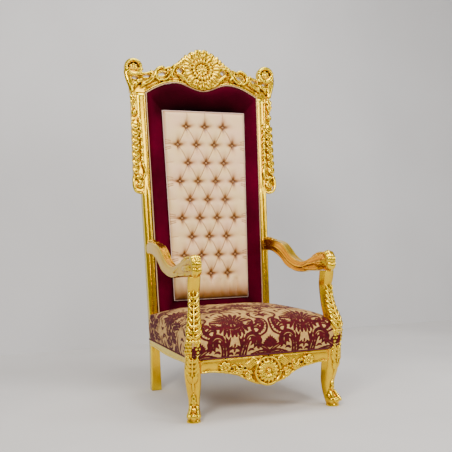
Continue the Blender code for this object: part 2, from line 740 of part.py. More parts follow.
def make_front_rail():
    low = MEDALLION_Z - MEDALLION_HALF_HEIGHT * 0.85
    end = APRON_END_BOTTOM_Z
    half = [(LEG_INNER_X - GAP, RAIL_TOP_Z), (LEG_INNER_X - GAP, end), (0.250, end + 0.001),
            (0.225, end - 0.003), (0.190, end - 0.008), (0.165, end - 0.014), (0.130, end - 0.025),
            (0.090, end - 0.048), (0.050, low + 0.006)]
    outline = half + [(0.0, low)] + [(-x, z) for x, z in reversed(half)]
    holes = []
    for x, z, w, h in ((0.108, 0.213, 0.011, 0.006), (0.166, 0.214, 0.009, 0.006)):
        holes.append(oval((x, z), w, h, count=8))
        holes.append(oval((-x, z), w, h, count=8))
    rail = plate("front_rail", outline, holes, -RAIL_THICKNESS, 0.0, on_apron)
    side = [
        relief_disc("flower", (APRON_FLOWER_X, 0.224), (0.025, 0.024), 8, 0.15, 0.014, 0.010, on_apron,
                    per_lobe=2, rings=3),
        volute("apron_scroll", (0.090, 0.186), 0.019, 1.2, math.radians(60), 0.006, on_apron),
        volute("apron_scroll_outer", (0.262, 0.224), 0.017, -1.2, math.radians(200), 0.0055, on_apron),
    ]
    for start, end_point, bow, width in (
            ((0.060, 0.235), (0.150, 0.238), 0.10, 0.012), ((0.120, 0.196), (0.175, 0.205), 0.15, 0.010),
            ((0.090, 0.165), (0.140, 0.196), -0.15, 0.010), ((0.225, 0.240), (0.285, 0.245), 0.10, 0.011),
            ((0.150, 0.242), (0.185, 0.216), 0.15, 0.009)):
        side.append(flat_leaf("apron_leaf", bend(start, end_point, bow), on_apron, width, 0.010))
    medallion = relief_disc("medallion", (0.0, MEDALLION_Z), (MEDALLION_HALF_WIDTH, MEDALLION_HALF_HEIGHT),
                            16, 0.10, 0.022, 0.018, on_apron, per_lobe=3, rings=5)
    fuse(rail, [medallion] + both_sides(side))
    slim(rail, APRON_FACES)
    cut(rail, cutter_box("rail_top_trim", (-0.5, -0.7, RAIL_TOP_Z), (0.5, 0.6, RAIL_TOP_Z + 0.2)))


def side_rail_drop(share):
    """The serpentine edge of the side rail: lower in front of the middle."""
    return 0.010 * math.sin(math.pi * share) ** 2


def make_side_rails():
    start = LEG_BACK_Y + GAP
    end = POST_FRONT_Y - GAP
    steps = 6
    outline = [(start, RAIL_TOP_Z), (end, RAIL_TOP_Z)]
    for i in range(steps + 1):
        share = i / steps
        outline.append((end + (start - end) * share, RAIL_BOTTOM_Z - side_rail_drop(1 - share)))

    def place(y, z, across):
        return Vector((SIDE_RAIL_OUTER_X + across, y, z))

    rail = plate("side_rail_right", outline, [], -RAIL_THICKNESS, 0.0, place)
    edge = [Vector((SIDE_RAIL_OUTER_X, start + 0.006 + (end - start - 0.012) * i / steps,
                    RAIL_BOTTOM_Z + 0.005 - side_rail_drop(i / steps))) for i in range(steps + 1)]
    fuse(rail, [tube("rail_bead", edge, 0.0045)])
    mirrored(rail, "side_rail_left")


def make_rear_rail():
    box("rear_seat_rail", (-POST_INNER_X + GAP, POST_FRONT_Y - RAIL_THICKNESS, RAIL_BOTTOM_Z),
        (POST_INNER_X - GAP, POST_FRONT_Y + POST_DEPTH, RAIL_TOP_Z))


def make_seat():
    """A tight seat: sides that swell and a crowned top, notched round the front legs."""
    bottom = RAIL_TOP_Z + GAP
    height = SEAT_CROWN_Z - bottom
    # Share of the height, share of the swell, distance in from the edge; first a rebate for the piping
    rebate = 2 * (SEAT_PIPING_RADIUS + GAP)
    levels = ((0.0, 0.0, rebate), (rebate / height, 0.0, rebate), (rebate / height, 0.15, 0.0),
              (0.20, 0.7, 0.0), (0.42, 1.0, 0.0), (0.62, 0.75, 0.0), (0.78, 0.0, 0.012),
              (0.90, 0.0, 0.055), (0.97, 0.0, 0.130), (1.0, 0.0, 0.215))
    rings = []
    for share, swell, inset in levels:
        half = SIDE_RAIL_OUTER_X + 0.002 + SEAT_SIDE_BULGE * swell - inset
        front = SEAT_FRONT_Y - SEAT_FRONT_BULGE * swell + inset
        back = back_y(bottom + height * share) - BORDER_RISE - 2 * GAP - inset * 0.4
        radius = 0.030 + inset * 0.5
        ring = []
        for cx, cy, first in ((half - radius, back - radius, 0), (-half + radius, back - radius, 90),
                              (-half + radius, front + radius, 180), (half - radius, front + radius, 270)):
            for k in range(4):
                angle = math.radians(first + 30 * k)
                ring.append(Vector((cx + radius * math.cos(angle), cy + radius * math.sin(angle),
                                    bottom + height * share)))
        rings.append(ring)
    seat = loft("seat_cushion", rings, material=damask)
    for side in (-1, 1):
        edges = sorted((side * (LEG_INNER_X - GAP), side * 0.6))
        cut(seat, cutter_box("leg_notch", (edges[0], -0.7, 0.0), (edges[1], LEG_BACK_Y + GAP, 0.7)))


def make_seat_piping():
    """Dark piping in the rebate along the lower edge of the seat: two sides and the front."""
    radius = SEAT_PIPING_RADIUS
    z = RAIL_TOP_Z + radius + GAP
    end = LEG_INNER_X - GAP
    front = [Vector((end * (1 - i / 3), SEAT_FRONT_Y + radius, z)) for i in range(7)]
    tube("seat_piping_front", front, radius, material=cord_dark)
    start = LEG_BACK_Y + 2 * GAP
    stop = POST_FRONT_Y - 2 * GAP
    across = SIDE_RAIL_OUTER_X + 0.002 - radius
    side = [Vector((across, start + (stop - start) * i / 4, z)) for i in range(5)]
    right = tube("seat_piping_right", side, radius, material=cord_dark)
    mirrored(right, "seat_piping_left")


def outline_points(foot, bottom_z, top_half, top_z):
    """A closed outline from its lower left corner: foot is half the width of its lower edge."""
    points = [(-foot, bottom_z), (foot, bottom_z)]
    for i in range(ARCH_STEPS + 1):
        x = top_half * (1 - 2 * i / ARCH_STEPS)
        points.append((x, top_z(x)))
    return points


def back_outline(inset):
    """Outline of the upholstered back between the posts and the crest rail."""
    corner = post_inner_x(ARCH_CORNER_Z) - inset
    stretch = post_inner_x(ARCH_CORNER_Z) / corner
    return outline_points(POST_INNER_X - inset, BACK_BOTTOM_Z + inset, corner,
                          lambda x: arch_z(x * stretch) - inset)


def panel_outline(grow):
    return outline_points(PANEL_BOTTOM_X + grow, PANEL_BOTTOM_Z - grow, PANEL_TOP_X + grow,
                          lambda x: PANEL_TOP_Z + grow)


def make_back_border():
    """Padded velvet frame between the gilded frame and the tufted panel."""
    rear = -POST_DEPTH + OUTSIDE_BACK_THICKNESS + GAP
    outer = back_outline(GAP)
    land = back_outline(GAP + SEAM_LAND)
    inner = panel_outline(GAP)
    inner_land = panel_outline(GAP + SEAM_LAND)
    swell = [((a[0] + b[0]) / 2, (a[1] + b[1]) / 2) for a, b in zip(land, inner_land)]
    loops = [
        [on_back(x, z, rear) for x, z in outer],
        [on_back(x, z, 0.0) for x, z in outer],
        [on_back(x, z, 0.0) for x, z in land],
        [on_back(x, z, BORDER_RISE) for x, z in swell],
        [on_back(x, z, SEAM_RISE) for x, z in inner_land],
        [on_back(x, z, SEAM_RISE) for x, z in inner],
        [on_back(x, z, rear) for x, z in inner],
    ]
    ring_loft("back_border", loops, velvet)


def tuft_rows():
    """Button places as (x, z), rows of three and four in turn from the top."""
    places = []
    for row in range(TUFT_ROWS):
        count = 3 if row % 2 == 0 else 4
        z = TUFT_TOP_ROW_Z - TUFT_ROW_STEP * row
        squeeze = panel_half_width(z) / panel_half_width(TUFT_TOP_ROW_Z)
        for k in range(count):
            places.append(((k - (count - 1) / 2) * TUFT_COLUMN_STEP * squeeze, z))
    return places


def panel_half_width(z):
    share = (z - PANEL_BOTTOM_Z) / (PANEL_TOP_Z - PANEL_BOTTOM_Z)
    return PANEL_BOTTOM_X + (PANEL_TOP_X - PANEL_BOTTOM_X) * share


def tuft_lift(column, row):
    """Height share of the tufted surface on half steps: 0 at a button, 1 at a pillow's middle."""
    return (1 - math.cos(math.pi * column) * math.cos(math.pi * row)) / 2


def make_back_panel():
    """Diamond-tufted panel: a grid whose points fall on the buttons and on the pillows."""
    rear = -POST_DEPTH + OUTSIDE_BACK_THICKNESS + GAP
    half_step = TUFT_COLUMN_STEP / 2
    columns = [-1.0] + [c * half_step for c in range(-4, 5)] + [1.0]
    rows = [PANEL_BOTTOM_Z + SEAM_LAND]
    for r in range(2 * TUFT_ROWS, -2, -1):
        z = TUFT_TOP_ROW_Z - TUFT_ROW_STEP * r / 2
        if z > PANEL_BOTTOM_Z + 0.02:
            rows.append(z)
    rows.append(PANEL_TOP_Z - SEAM_LAND)
    bm = bmesh.new()
    grid = []
    for j, z in enumerate(rows):
        half = panel_half_width(z)
        squeeze = half / panel_half_width(TUFT_TOP_ROW_Z)
        line = []
        for i, c in enumerate(columns):
            edge = abs(c) == 1.0 or j in (0, len(rows) - 1)
            x = math.copysign(half - SEAM_LAND, c) if abs(c) == 1.0 else c * squeeze
            row = (TUFT_TOP_ROW_Z - z) / TUFT_ROW_STEP
            forward = SEAM_RISE if edge else PANEL_RISE - TUFT_DEPTH * (1 - tuft_lift(c / half_step, row))
            line.append(bm.verts.new(on_back(x, z, forward)))
        grid.append(line)
    rim = []
    rim += [(grid[0][i], (-1, 0)) for i in range(len(columns))]
    rim += [(grid[j][-1], (1, 0)) for j in range(1, len(rows))]
    rim += [(grid[-1][i], (0, 1)) for i in range(len(columns) - 2, -1, -1)]
    rim += [(grid[j][0], (-1, 0)) for j in range(len(rows) - 2, 0, -1)]
    for j in range(len(rows) - 1):
        for i in range(len(columns) - 1):
            bm.faces.new((grid[j][i], grid[j][i + 1], grid[j + 1][i + 1], grid[j + 1][i]))
    land = []
    back = []
    for vertex, _ in rim:
        x, y, z = vertex.co
        if z < PANEL_BOTTOM_Z + 2 * SEAM_LAND:
            z = PANEL_BOTTOM_Z
        elif z > PANEL_TOP_Z - 2 * SEAM_LAND:
            z = PANEL_TOP_Z
        if vertex in (grid[0][0], grid[0][-1], grid[-1][0], grid[-1][-1]) or abs(x) > panel_half_width(z) - 2 * SEAM_LAND:
            x = math.copysign(panel_half_width(z), x)
        land.append(bm.verts.new(on_back(x, z, SEAM_RISE)))
        back.append(bm.verts.new(on_back(x, z, rear)))
    loop = [vertex for vertex, _ in rim]
    count = len(loop)
    for k in range(count):
        j = (k + 1) % count
        bm.faces.new((loop[k], loop[j], land[j], land[k]))
        bm.faces.new((land[k], land[j], back[j], back[k]))
    bm.faces.new(back)
    bmesh.ops.recalc_face_normals(bm, faces=bm.faces)
    add_body("back_panel", bm, satin)


def make_buttons():
    # A button rests in its dimple, where its rim meets the slope of the pillows
    slope = TUFT_DEPTH / (TUFT_COLUMN_STEP / 2)
    middle = PANEL_RISE - TUFT_DEPTH + BUTTON_RADIUS * slope + BUTTON_HEIGHT / 2 + 4 * GAP
    for number, (x, z) in enumerate(tuft_rows(), 1):
        bm = bmesh.new()
        place = on_back(x, z, middle)
        turn = Matrix.Rotation(math.pi / 2 - BACK_RAKE, 4, "X")
        bmesh.ops.create_cone(bm, cap_ends=True, segments=6, radius1=BUTTON_RADIUS, radius2=BUTTON_RADIUS * 0.6,
                              depth=BUTTON_HEIGHT, matrix=Matrix.Translation(place) @ turn)
        add_body(f"button_{number:02d}", bm, satin)


def make_piping():
    radius = PIPING_RADIUS
    corners = ((-PANEL_BOTTOM_X, PANEL_BOTTOM_Z), (PANEL_BOTTOM_X, PANEL_BOTTOM_Z),
               (PANEL_TOP_X, PANEL_TOP_Z), (-PANEL_TOP_X, PANEL_TOP_Z))
    loop = [on_back(x, z, SEAM_RISE + radius + GAP) for x, z in corners]
    tube("panel_piping", loop, radius, closed=True, material=cord_white)
    outer = back_outline(radius + 2 * GAP)
    gimp = [on_back(x, z, radius + GAP) for x, z in outer]
    tube("frame_piping", gimp, radius, closed=True, sides=0, material=cord_white)


def make_outside_back():
    inset = 2 * GAP
    plate("outside_back", back_outline(inset), [], -POST_DEPTH, -POST_DEPTH + OUTSIDE_BACK_THICKNESS, on_back,
          material=velvet)


make_back_posts()
make_crest_rail()
make_front_legs()
make_arms()
make_front_rail()
make_side_rails()
make_rear_rail()
make_seat()
make_seat_piping()
make_back_border()
make_back_panel()
make_buttons()
make_piping()
make_outside_back()
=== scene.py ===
# Gilded baroque armchair: fine carving, upholstery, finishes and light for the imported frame
import math

import bmesh
import bpy
import numpy as np
from mathutils import Matrix, Vector


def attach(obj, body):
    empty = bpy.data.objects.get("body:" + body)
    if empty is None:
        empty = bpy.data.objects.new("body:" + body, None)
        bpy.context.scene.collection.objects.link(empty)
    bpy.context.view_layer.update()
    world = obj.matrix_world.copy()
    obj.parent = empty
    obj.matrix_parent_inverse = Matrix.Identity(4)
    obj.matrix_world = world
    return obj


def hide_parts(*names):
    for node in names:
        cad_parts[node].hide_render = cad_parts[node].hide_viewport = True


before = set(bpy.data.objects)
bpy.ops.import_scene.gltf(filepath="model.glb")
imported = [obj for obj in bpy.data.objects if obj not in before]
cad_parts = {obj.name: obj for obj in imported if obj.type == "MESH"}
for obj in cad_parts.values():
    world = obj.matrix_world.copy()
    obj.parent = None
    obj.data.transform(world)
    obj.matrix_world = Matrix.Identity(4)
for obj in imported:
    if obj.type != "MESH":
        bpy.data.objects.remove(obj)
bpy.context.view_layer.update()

# Sizes that the frame was built to, in metres
build = dict(rakeFrom=0.2623, rake=math.radians(3.4), flare=0.021, postFront=0.31, postInner=0.292,
             postWidth=0.044, postDepth=0.042, footWidth=0.05, seatFront=-0.392, legInner=0.295,
             railTop=0.262, railBottom=0.236, legX=0.331, legY=-0.356, legTop=0.615,
             armFront=-0.434, armBackZ=0.766, joint=1.552)
arch = dict(corner=1.555, shoulder=1.617, dip=1.577, shoulderX=0.15)
panelSize = dict(bottom=0.455, top=1.458, bottomX=0.206, topX=0.232)


def colour(hexValue):
    channels = [int(hexValue[i:i + 2], 16) / 255 for i in (1, 3, 5)]
    linear = [c / 12.92 if c <= 0.04045 else ((c + 0.055) / 1.055) ** 2.4 for c in channels]
    return (*linear, 1.0)


def setInputs(tree, node, inputs):
    # A node given as a value is linked by its usual output
    for key, value in inputs.items():
        if isinstance(value, bpy.types.Node):
            usual = [name for name in ("Fac", "Result", "Object", "Color") if name in value.outputs]
            value = value.outputs[usual[0]] if usual else value.outputs[0]
        if isinstance(value, bpy.types.NodeSocket):
            tree.links.new(value, node.inputs[key])
        else:
            node.inputs[key].default_value = value


def addNode(tree, kind, inputs=None, stops=(), **settings):
    node = tree.nodes.new("ShaderNode" + kind)
    for key, value in settings.items():
        setattr(node, key, value)
    setInputs(tree, node, inputs or {})
    for k, (place, tone) in enumerate(stops):
        ramp = node.color_ramp.elements
        element = ramp[k] if k < len(ramp) else ramp.new(place)
        element.position = place
        element.color = colour(tone)
    return node


def newFinish(name):
    finish = bpy.data.materials.new(name)
    finish.use_nodes = True

    def add(*details, **settings):
        return addNode(finish.node_tree, *details, **settings)
    return finish, add, add("TexCoord")


def applied(finish, inputs):
    setInputs(finish.node_tree, finish.node_tree.nodes["Principled BSDF"], inputs)
    return finish


# Gold leaf on carved wood: burnished on the high places and duller in the hollows, whose colour is painted browner and
# darker as shade over a little real toning
def goldLeaf():
    finish, add, where = newFinish("goldLeafBurnished")
    patches = add("TexNoise", {"Vector": where, "Scale": 22.0, "Detail": 4.0, "Roughness": 0.6})
    hollow = add("Attribute", attribute_name="hollow")
    # Painted shade: the colour runs from bright yellow on ridges to amber and near black deep in the grooves
    tint = add("ValToRGB", {"Fac": hollow},
               [(0.0, "#FFE22C"), (0.4, "#F2C418"), (0.6, "#BC880C"), (0.9, "#341E04")])
    leafTone = add("ValToRGB", {"Fac": patches}, [(0.36, "#D9B878"), (0.6, "#FFFFFF")])
    # The painted hollow shade is multiplied with the random tone of the leaf
    worn = add("Mix", {"Factor": 0.3, "A": tint, "B": leafTone}, data_type="RGBA", blend_type="MULTIPLY")
    dull = add("MapRange", {"Value": hollow, "From Min": 0.4, "From Max": 0.95, "To Min": 0.13, "To Max": 0.44})
    mottled = add("Math", {0: patches, 1: 0.1, 2: dull}, operation="MULTIPLY_ADD")
    chisel = add("TexNoise", {"Vector": where, "Scale": 180.0, "Detail": 3.0})
    bump = add("Bump", {"Height": chisel, "Strength": 0.3, "Distance": 0.0008})
    return applied(finish, {"Base Color": worn, "Roughness": mottled, "Normal": bump, "Metallic": 0.97})


# Silk velvet: a very dark pile that takes a violet light where it turns away
def silkVelvet():
    finish, add, where = newFinish("silkVelvetPile")
    crush = add("TexNoise", {"Vector": where, "Scale": 6.0, "Detail": 4.0, "Roughness": 0.58})
    tint = add("ValToRGB", {"Fac": crush}, [(0.3, "#3E0010"), (0.55, "#52001A"), (0.78, "#640020")])
    # Painted shade: a point attribute darkens the pile and lowers its sheen, most on the top border, towards the panel
    # and at the mitred corners
    shadeAmount = add("Attribute", attribute_name="shadeMask")
    shade = add("ValToRGB", {"Fac": shadeAmount}, [(0.0, "#FFFFFF"), (1.0, "#38282C")])
    shadedTint = add("Mix", {"Factor": 1.0, "A": tint, "B": shade}, data_type="RGBA", blend_type="MULTIPLY")
    glow = add("MapRange", {"Value": shadeAmount, "To Min": 0.17, "To Max": 0.02})
    # Pile drawn three times as coarse as it is, so that it shows
    pile = add("TexNoise", {"Vector": where, "Scale": 1400.0, "Detail": 2.0})
    bump = add("Bump", {"Height": pile, "Strength": 0.35, "Distance": 0.0008})
    return applied(finish, {"Base Color": shadedTint, "Sheen Weight": glow, "Normal": bump, "Roughness": 0.9,
                            "Sheen Roughness": 0.35, "Sheen Tint": colour("#9A2C64"), "Specular IOR Level": 0.03})


# Duchesse satin: close warp threads, a soft gloss, and painted brown shade where the folds run deep
def duchesseSatin():
    finish, add, where = newFinish("duchesseSatinWoven")
    deep = add("Attribute", attribute_name="shadeMask")
    # Painted shade: the colour turns brown and near black as the point attribute rises, in dimples, along pleats, under
    # the top seam and towards the bottom
    tint = add("ValToRGB", {"Fac": deep}, [(0.0, "#FBDDAE"), (0.18, "#E9C594"), (0.45, "#96672F"),
                                           (0.72, "#4C2C10"), (1.0, "#241004")])
    cloud = add("TexNoise", {"Vector": where, "Scale": 9.0, "Detail": 3.0})
    blush = add("ValToRGB", {"Fac": cloud}, [(0.38, "#FFF3D6"), (0.64, "#FFE9E4")])
    mixed = add("Mix", {"Factor": 0.9, "A": tint, "B": blush}, data_type="RGBA", blend_type="MULTIPLY")
    threads = add("TexWave", {"Vector": where, "Scale": 160.0, "Distortion": 1.5, "Detail": 2.0},
                  wave_type="BANDS", bands_direction="X")
    bump = add("Bump", {"Height": threads, "Strength": 0.08, "Distance": 0.0004})
    return applied(finish, {"Base Color": mixed, "Normal": bump, "Roughness": 0.36, "Sheen Weight": 0.12,
                            "Sheen Roughness": 0.35})


# Silk damask: a burgundy velvet figure raised on a gold-beige ribbed ground
def silkDamask():
    finish, add, where = newFinish("silkDamaskWoven")
    figure = add("Attribute", attribute_name="figure")
    edge = add("MapRange", {"Value": figure, "From Min": -0.0004, "From Max": 0.0004, "To Min": 1.0, "To Max": 0.0})
    worn = add("TexNoise", {"Vector": where, "Scale": 60.0, "Detail": 5.0, "Roughness": 0.7})
    ground = add("ValToRGB", {"Fac": worn}, [(0.35, "#B98C48"), (0.65, "#D8B06A")])
    pile = add("ValToRGB", {"Fac": worn}, [(0.35, "#3A0208"), (0.65, "#5E0614")])
    cloth = add("Mix", {"Factor": edge, "A": ground, "B": pile}, data_type="RGBA")
    ribs = add("TexWave", {"Vector": where, "Scale": 120.0, "Distortion": 0.6}, wave_type="BANDS", bands_direction="Y")
    height = add("Math", {0: ribs, 1: 0.25, 2: edge}, operation="MULTIPLY_ADD")
    bump = add("Bump", {"Height": height, "Strength": 0.35, "Distance": 0.0007})
    return applied(finish, {"Base Color": cloth, "Normal": bump, "Roughness": 0.7, "Specular IOR Level": 0.15,
                            "Sheen Weight": 0.06, "Sheen Roughness": 0.5, "Sheen Tint": colour("#C8A8C8")})


# Cord covered in cloth, with a twist that shows as fine slanting lines, painted darker in the low grooves of the twist
# as shade
def pipingCloth(name, light, dark, rough=0.5):
    finish, add, where = newFinish(name)
    twist = add("TexWave", {"Vector": where, "Scale": 95.0, "Distortion": 0.4},
                wave_type="BANDS", bands_direction="DIAGONAL")
    # Painted shade: the colour is darker where the twist is low
    tint = add("ValToRGB", {"Fac": twist}, [(0.25, dark), (0.7, light)])
    bump = add("Bump", {"Height": twist, "Strength": 0.3, "Distance": 0.0005})
    return applied(finish, {"Base Color": tint, "Normal": bump, "Roughness": rough})


# Matte limewash plaster and screed for the studio
def studioPlaster(name, light, dark):
    finish, add, where = newFinish(name)
    cloud = add("TexNoise", {"Vector": where, "Scale": 1.2, "Detail": 2.0})
    tint = add("ValToRGB", {"Fac": cloud}, [(0.3, dark), (0.7, light)])
    # Clear from its rear, so a camera behind the wall still sees the chair
    nodes = finish.node_tree.nodes
    both = add("MixShader", {0: add("NewGeometry").outputs["Backfacing"], 1: nodes["Principled BSDF"],
                             2: add("BsdfTransparent")})
    setInputs(finish.node_tree, nodes["Material Output"], {"Surface": both})
    return applied(finish, {"Base Color": tint, "Roughness": 0.9})


gold = goldLeaf()
velvet = silkVelvet()
satin = duchesseSatin()
damask = silkDamask()
whiteCord = pipingCloth("satinPipingCord", "#ECCFC0", "#BE988C")
dimCord = pipingCloth("amberPipingCord", "#E8C090", "#A87850")
darkCord = pipingCloth("burgundyPipingCord", "#6A1C26", "#2E0A10", 0.9)
print("finishes ready")


# Where things lie on the chair
def backY(z):
    return build["postFront"] + max(0.0, z - build["rakeFrom"]) * math.tan(build["rake"])


def postInnerX(z):
    return build["postInner"] + max(0.0, z - build["rakeFrom"]) * build["flare"]


def onBack(x, z, forward=0.0):
    return Vector((x, backY(z) - forward, z))


def onApron(x, z, forward=0.0):
    share = min(1.0, abs(x) / build["legInner"])
    return Vector((x, build["seatFront"] + 0.006 - 0.01 * math.cos(math.pi / 2 * share) - forward, z))


def mirrored(place):
    return lambda x, z, forward=0.0: Vector((-1, 1, 1)) * place(x, z, forward)


def archZ(x):
    x = abs(x)
    rise = arch["shoulder"] - arch["dip"]
    if x < arch["shoulderX"]:
        return arch["dip"] + rise * (1 - math.cos(math.pi * x / arch["shoulderX"])) / 2
    share = (x - arch["shoulderX"]) / (postInnerX(arch["corner"]) - arch["shoulderX"])
    return arch["corner"] + (arch["shoulder"] - arch["corner"]) * math.cos(math.pi / 2 * min(1.0, share))


def mm(*numbers, per=3):
    # Rows of metres or shares from millimetres or thousandths
    return [tuple(n / 1000 for n in numbers[i:i + per]) for i in range(0, len(numbers), per)]


def eased(table, share):
    # Smooth curve through rows of (share, values...)
    last = len(table) - 1
    i = 0
    while i < last - 1 and share > table[i + 1][0]:
        i += 1
    rows = [table[max(i - 1, 0)], table[i], table[i + 1], table[min(i + 2, last)]]
    span = rows[2][0] - rows[1][0]
    t = min(1.0, max(0.0, (share - rows[1][0]) / span))
    values = []
    for p in list(zip(*rows))[1:]:
        left = (p[2] - p[0]) / max(1e-6, rows[2][0] - rows[0][0]) * span
        right = (p[3] - p[1]) / max(1e-6, rows[3][0] - rows[1][0]) * span
        values.append((2 * t ** 3 - 3 * t * t + 1) * p[1] + (t ** 3 - 2 * t * t + t) * left
                      + (3 * t * t - 2 * t ** 3) * p[2] + (t ** 3 - t * t) * right)
    return values


# Carver's strokes: every form is a closed skin drawn along a line
def lineOn(place, spot):
    def at(share):
        a, b, c = spot(share)
        here = place(a, b, c)
        lift = (place(a, b, c + 0.001) - here).normalized()
        before = place(*spot(max(0.0, share - 0.01)))
        after = place(*spot(min(1.0, share + 0.01)))
        along = (after - before).normalized()
        across = along.cross(lift).normalized()
        return here, across, across.cross(along)
    return at


def through(*points):
    last = len(points) - 1

    def at(share):
        i = min(int(share * last), last - 1)
        t = share * last - i
        rows = (points[max(i - 1, 0)], points[i], points[i + 1], points[min(i + 2, last)])
        return tuple(0.5 * (2 * b + (c - a) * t + (2 * a - 5 * b + 4 * c - d) * t * t
                            + (3 * b - a - 3 * c + d) * t ** 3) for a, b, c, d in zip(*rows))
    return at


def winding(x, z, radius, turns, start, low, high):
    # Points of a spiral that tightens towards its eye
    points = []
    for k in range(17):
        share = k / 16
        angle = math.radians(start) + math.tau * turns * share
        reach = radius * (1 - 0.85 * share ** 0.8)
        points.append((x + reach * math.cos(angle), z + reach * math.sin(angle), low + (high - low) * share))
    return points


def rod(width, height, tip=1.0, firm=3.0):
    def at(share, angle):
        size = min(1.0, math.sin(math.pi * share) * firm) ** 0.5 * (1 + (tip - 1) * share)
        return width * size * math.cos(angle), height * size * math.sin(angle)
    return at


def lobe(width, height, early, full, under, top, flare=lambda share: 1):
    # A section that swells and closes along its line; top shapes its upper side
    def at(share, angle):
        body = math.sin(math.pi * share ** early) ** full
        u = math.cos(angle)
        across = width * body * flare(share) * u
        if math.sin(angle) < 0:
            return across, under * height * body * math.sin(angle)
        return across, height * body * top(share, u)
    return at


def acanthus(width, height, lobes=5, early=0.75):
    def top(share, u):
        groove = 1 - 0.5 * math.exp(-(u / 0.17) ** 2)
        return math.sqrt(1 - u * u) * groove * (1 + 0.26 * math.cos(math.tau * (lobes * share + 1.15 * abs(u))))
    return lobe(width, height, early, 0.65, 0.5, top, lambda share: 1 + 0.17 * math.cos(math.tau * lobes * share))


def gadroon(width, height, hollow=0.4):
    # An egg with a sunk middle and a raised rim
    def top(share, u):
        dish = 1 - hollow * math.exp(-(u / 0.42) ** 2 - ((share - 0.55) / 0.28) ** 2)
        return math.sqrt(1 - u * u) ** 0.8 * dish
    return lobe(width, height, 1.25, 0.6, 0.6, top)


def spoon(width, height):
    # A petal with a raised rim, a groove and a ridge down its middle
    def top(share, u):
        ridge = 0.8 + 0.2 * math.cos(2.2 * math.pi * u) * min(1.0, 4 * (1 - share))
        return (1 - u * u) ** 0.22 * ridge
    return lobe(width, height, 1.25, 0.5, 0.6, top)


strokeBalls = {}  # one ball for each fineness, bent into stroke after stroke


def ballOf(sides, steps):
    if (sides, steps) not in strokeBalls:
        bm = bmesh.new()
        bmesh.ops.create_uvsphere(bm, u_segments=sides, v_segments=steps, radius=1.0)
        mesh = bpy.data.meshes.new("strokeBall")
        bm.to_mesh(mesh)
        bm.free()
        spots = [vertex.co.copy() for vertex in mesh.vertices]
        rows = [(round(math.acos(max(-1.0, min(1.0, -co.z))) / math.pi * steps), math.atan2(co.y, co.x), co)
                for co in spots]
        strokeBalls[sides, steps] = (mesh, rows)
    return strokeBalls[sides, steps]


def drawn(bm, place, points, section, sides, steps):
    mesh, rows = ballOf(sides, steps)
    line = lineOn(place, through(*points))
    stations = [line(k / steps) for k in range(steps + 1)]
    flat = []
    for k, angle, _ in rows:
        middle, across, lift = stations[k]
        if 0 < k < steps:
            a, b = section(k / steps, angle)
            middle = middle + across * a + lift * b
        flat.extend(middle)
    mesh.vertices.foreach_set("co", flat)
    bm.from_mesh(mesh)


def strokesOn(bm, place):
    return lambda *details: drawn(bm, place, *details)


def bead(bm, middle, radius, squash=1.0, along=Vector((0.0, 1.0, 0.0))):
    mesh, rows = ballOf(12, 8)
    flat = []
    for _, _, co in rows:
        flat.extend(middle + (co - along * co.dot(along) * (1 - squash)) * radius)
    mesh.vertices.foreach_set("co", flat)
    bm.from_mesh(mesh)


def ringOf(bm, place, centre, reach, count, length, section, phase, low, high, sides, steps):
    # Petals that point outwards from a centre; reach is where each one starts
    for k in range(count):
        angle = math.tau * (k + phase) / count
        points = [(centre[0] + math.cos(angle) * (reach + length * s),
                   centre[1] + math.sin(angle) * (reach + length * s),
                   low + (high - low) * s) for s in (0.0, 0.5, 1.0)]
        drawn(bm, place, points, section, sides, steps)


def disc(bm, spot, segments, low, high, depth):
    # A flat round block, placed by spot
    made = bmesh.ops.create_cone(bm, cap_ends=True, segments=segments, radius1=low, radius2=high, depth=depth)
    for vert in made["verts"]:
        vert.co = spot(*vert.co)


def gridOn(bm, across, along):
    # A grid with the two shares of its every point
    made = bmesh.ops.create_grid(bm, x_segments=across, y_segments=along, size=0.5)
    return {vert: (vert.co.x + 0.5, vert.co.y + 0.5) for vert in made["verts"]}


def closed(bm, spot, across, along, gap=1e-5):
    # A tube or bag bent from a grid, with its seam and its ends shut
    for vert, shares in gridOn(bm, across, along).items():
        vert.co = spot(*shares)
    bmesh.ops.remove_doubles(bm, verts=bm.verts, dist=gap)
    shut(bm)


def shut(bm):
    bmesh.ops.holes_fill(bm, edges=[edge for edge in bm.edges if edge.is_boundary])


def slab(bm, across, along, spot, back, front, keep=None):
    # A plate with thickness: front and back skins joined round their edge
    shares = gridOn(bm, across, along)
    faces = {face for vert in shares for face in vert.link_faces}
    if keep:
        drop = [face for face in faces if not keep(sum(shares[v][0] for v in face.verts) / 4,
                                                   sum(shares[v][1] for v in face.verts) / 4)]
        faces.difference_update(drop)
        bmesh.ops.delete(bm, geom=drop, context="FACES")
    lookup = {}
    for vert, (u, w) in shares.items():
        if vert.is_valid:
            vert.co = spot(u, w, front(u, w) if callable(front) else front)
            lookup[tuple(round(c, 6) for c in vert.co)] = (u, w)
    pushed = bmesh.ops.extrude_face_region(bm, geom=list(faces), use_keep_orig=True)
    for item in pushed["geom"]:
        if isinstance(item, bmesh.types.BMVert):
            item.co = spot(*lookup[tuple(round(c, 6) for c in item.co)], back)


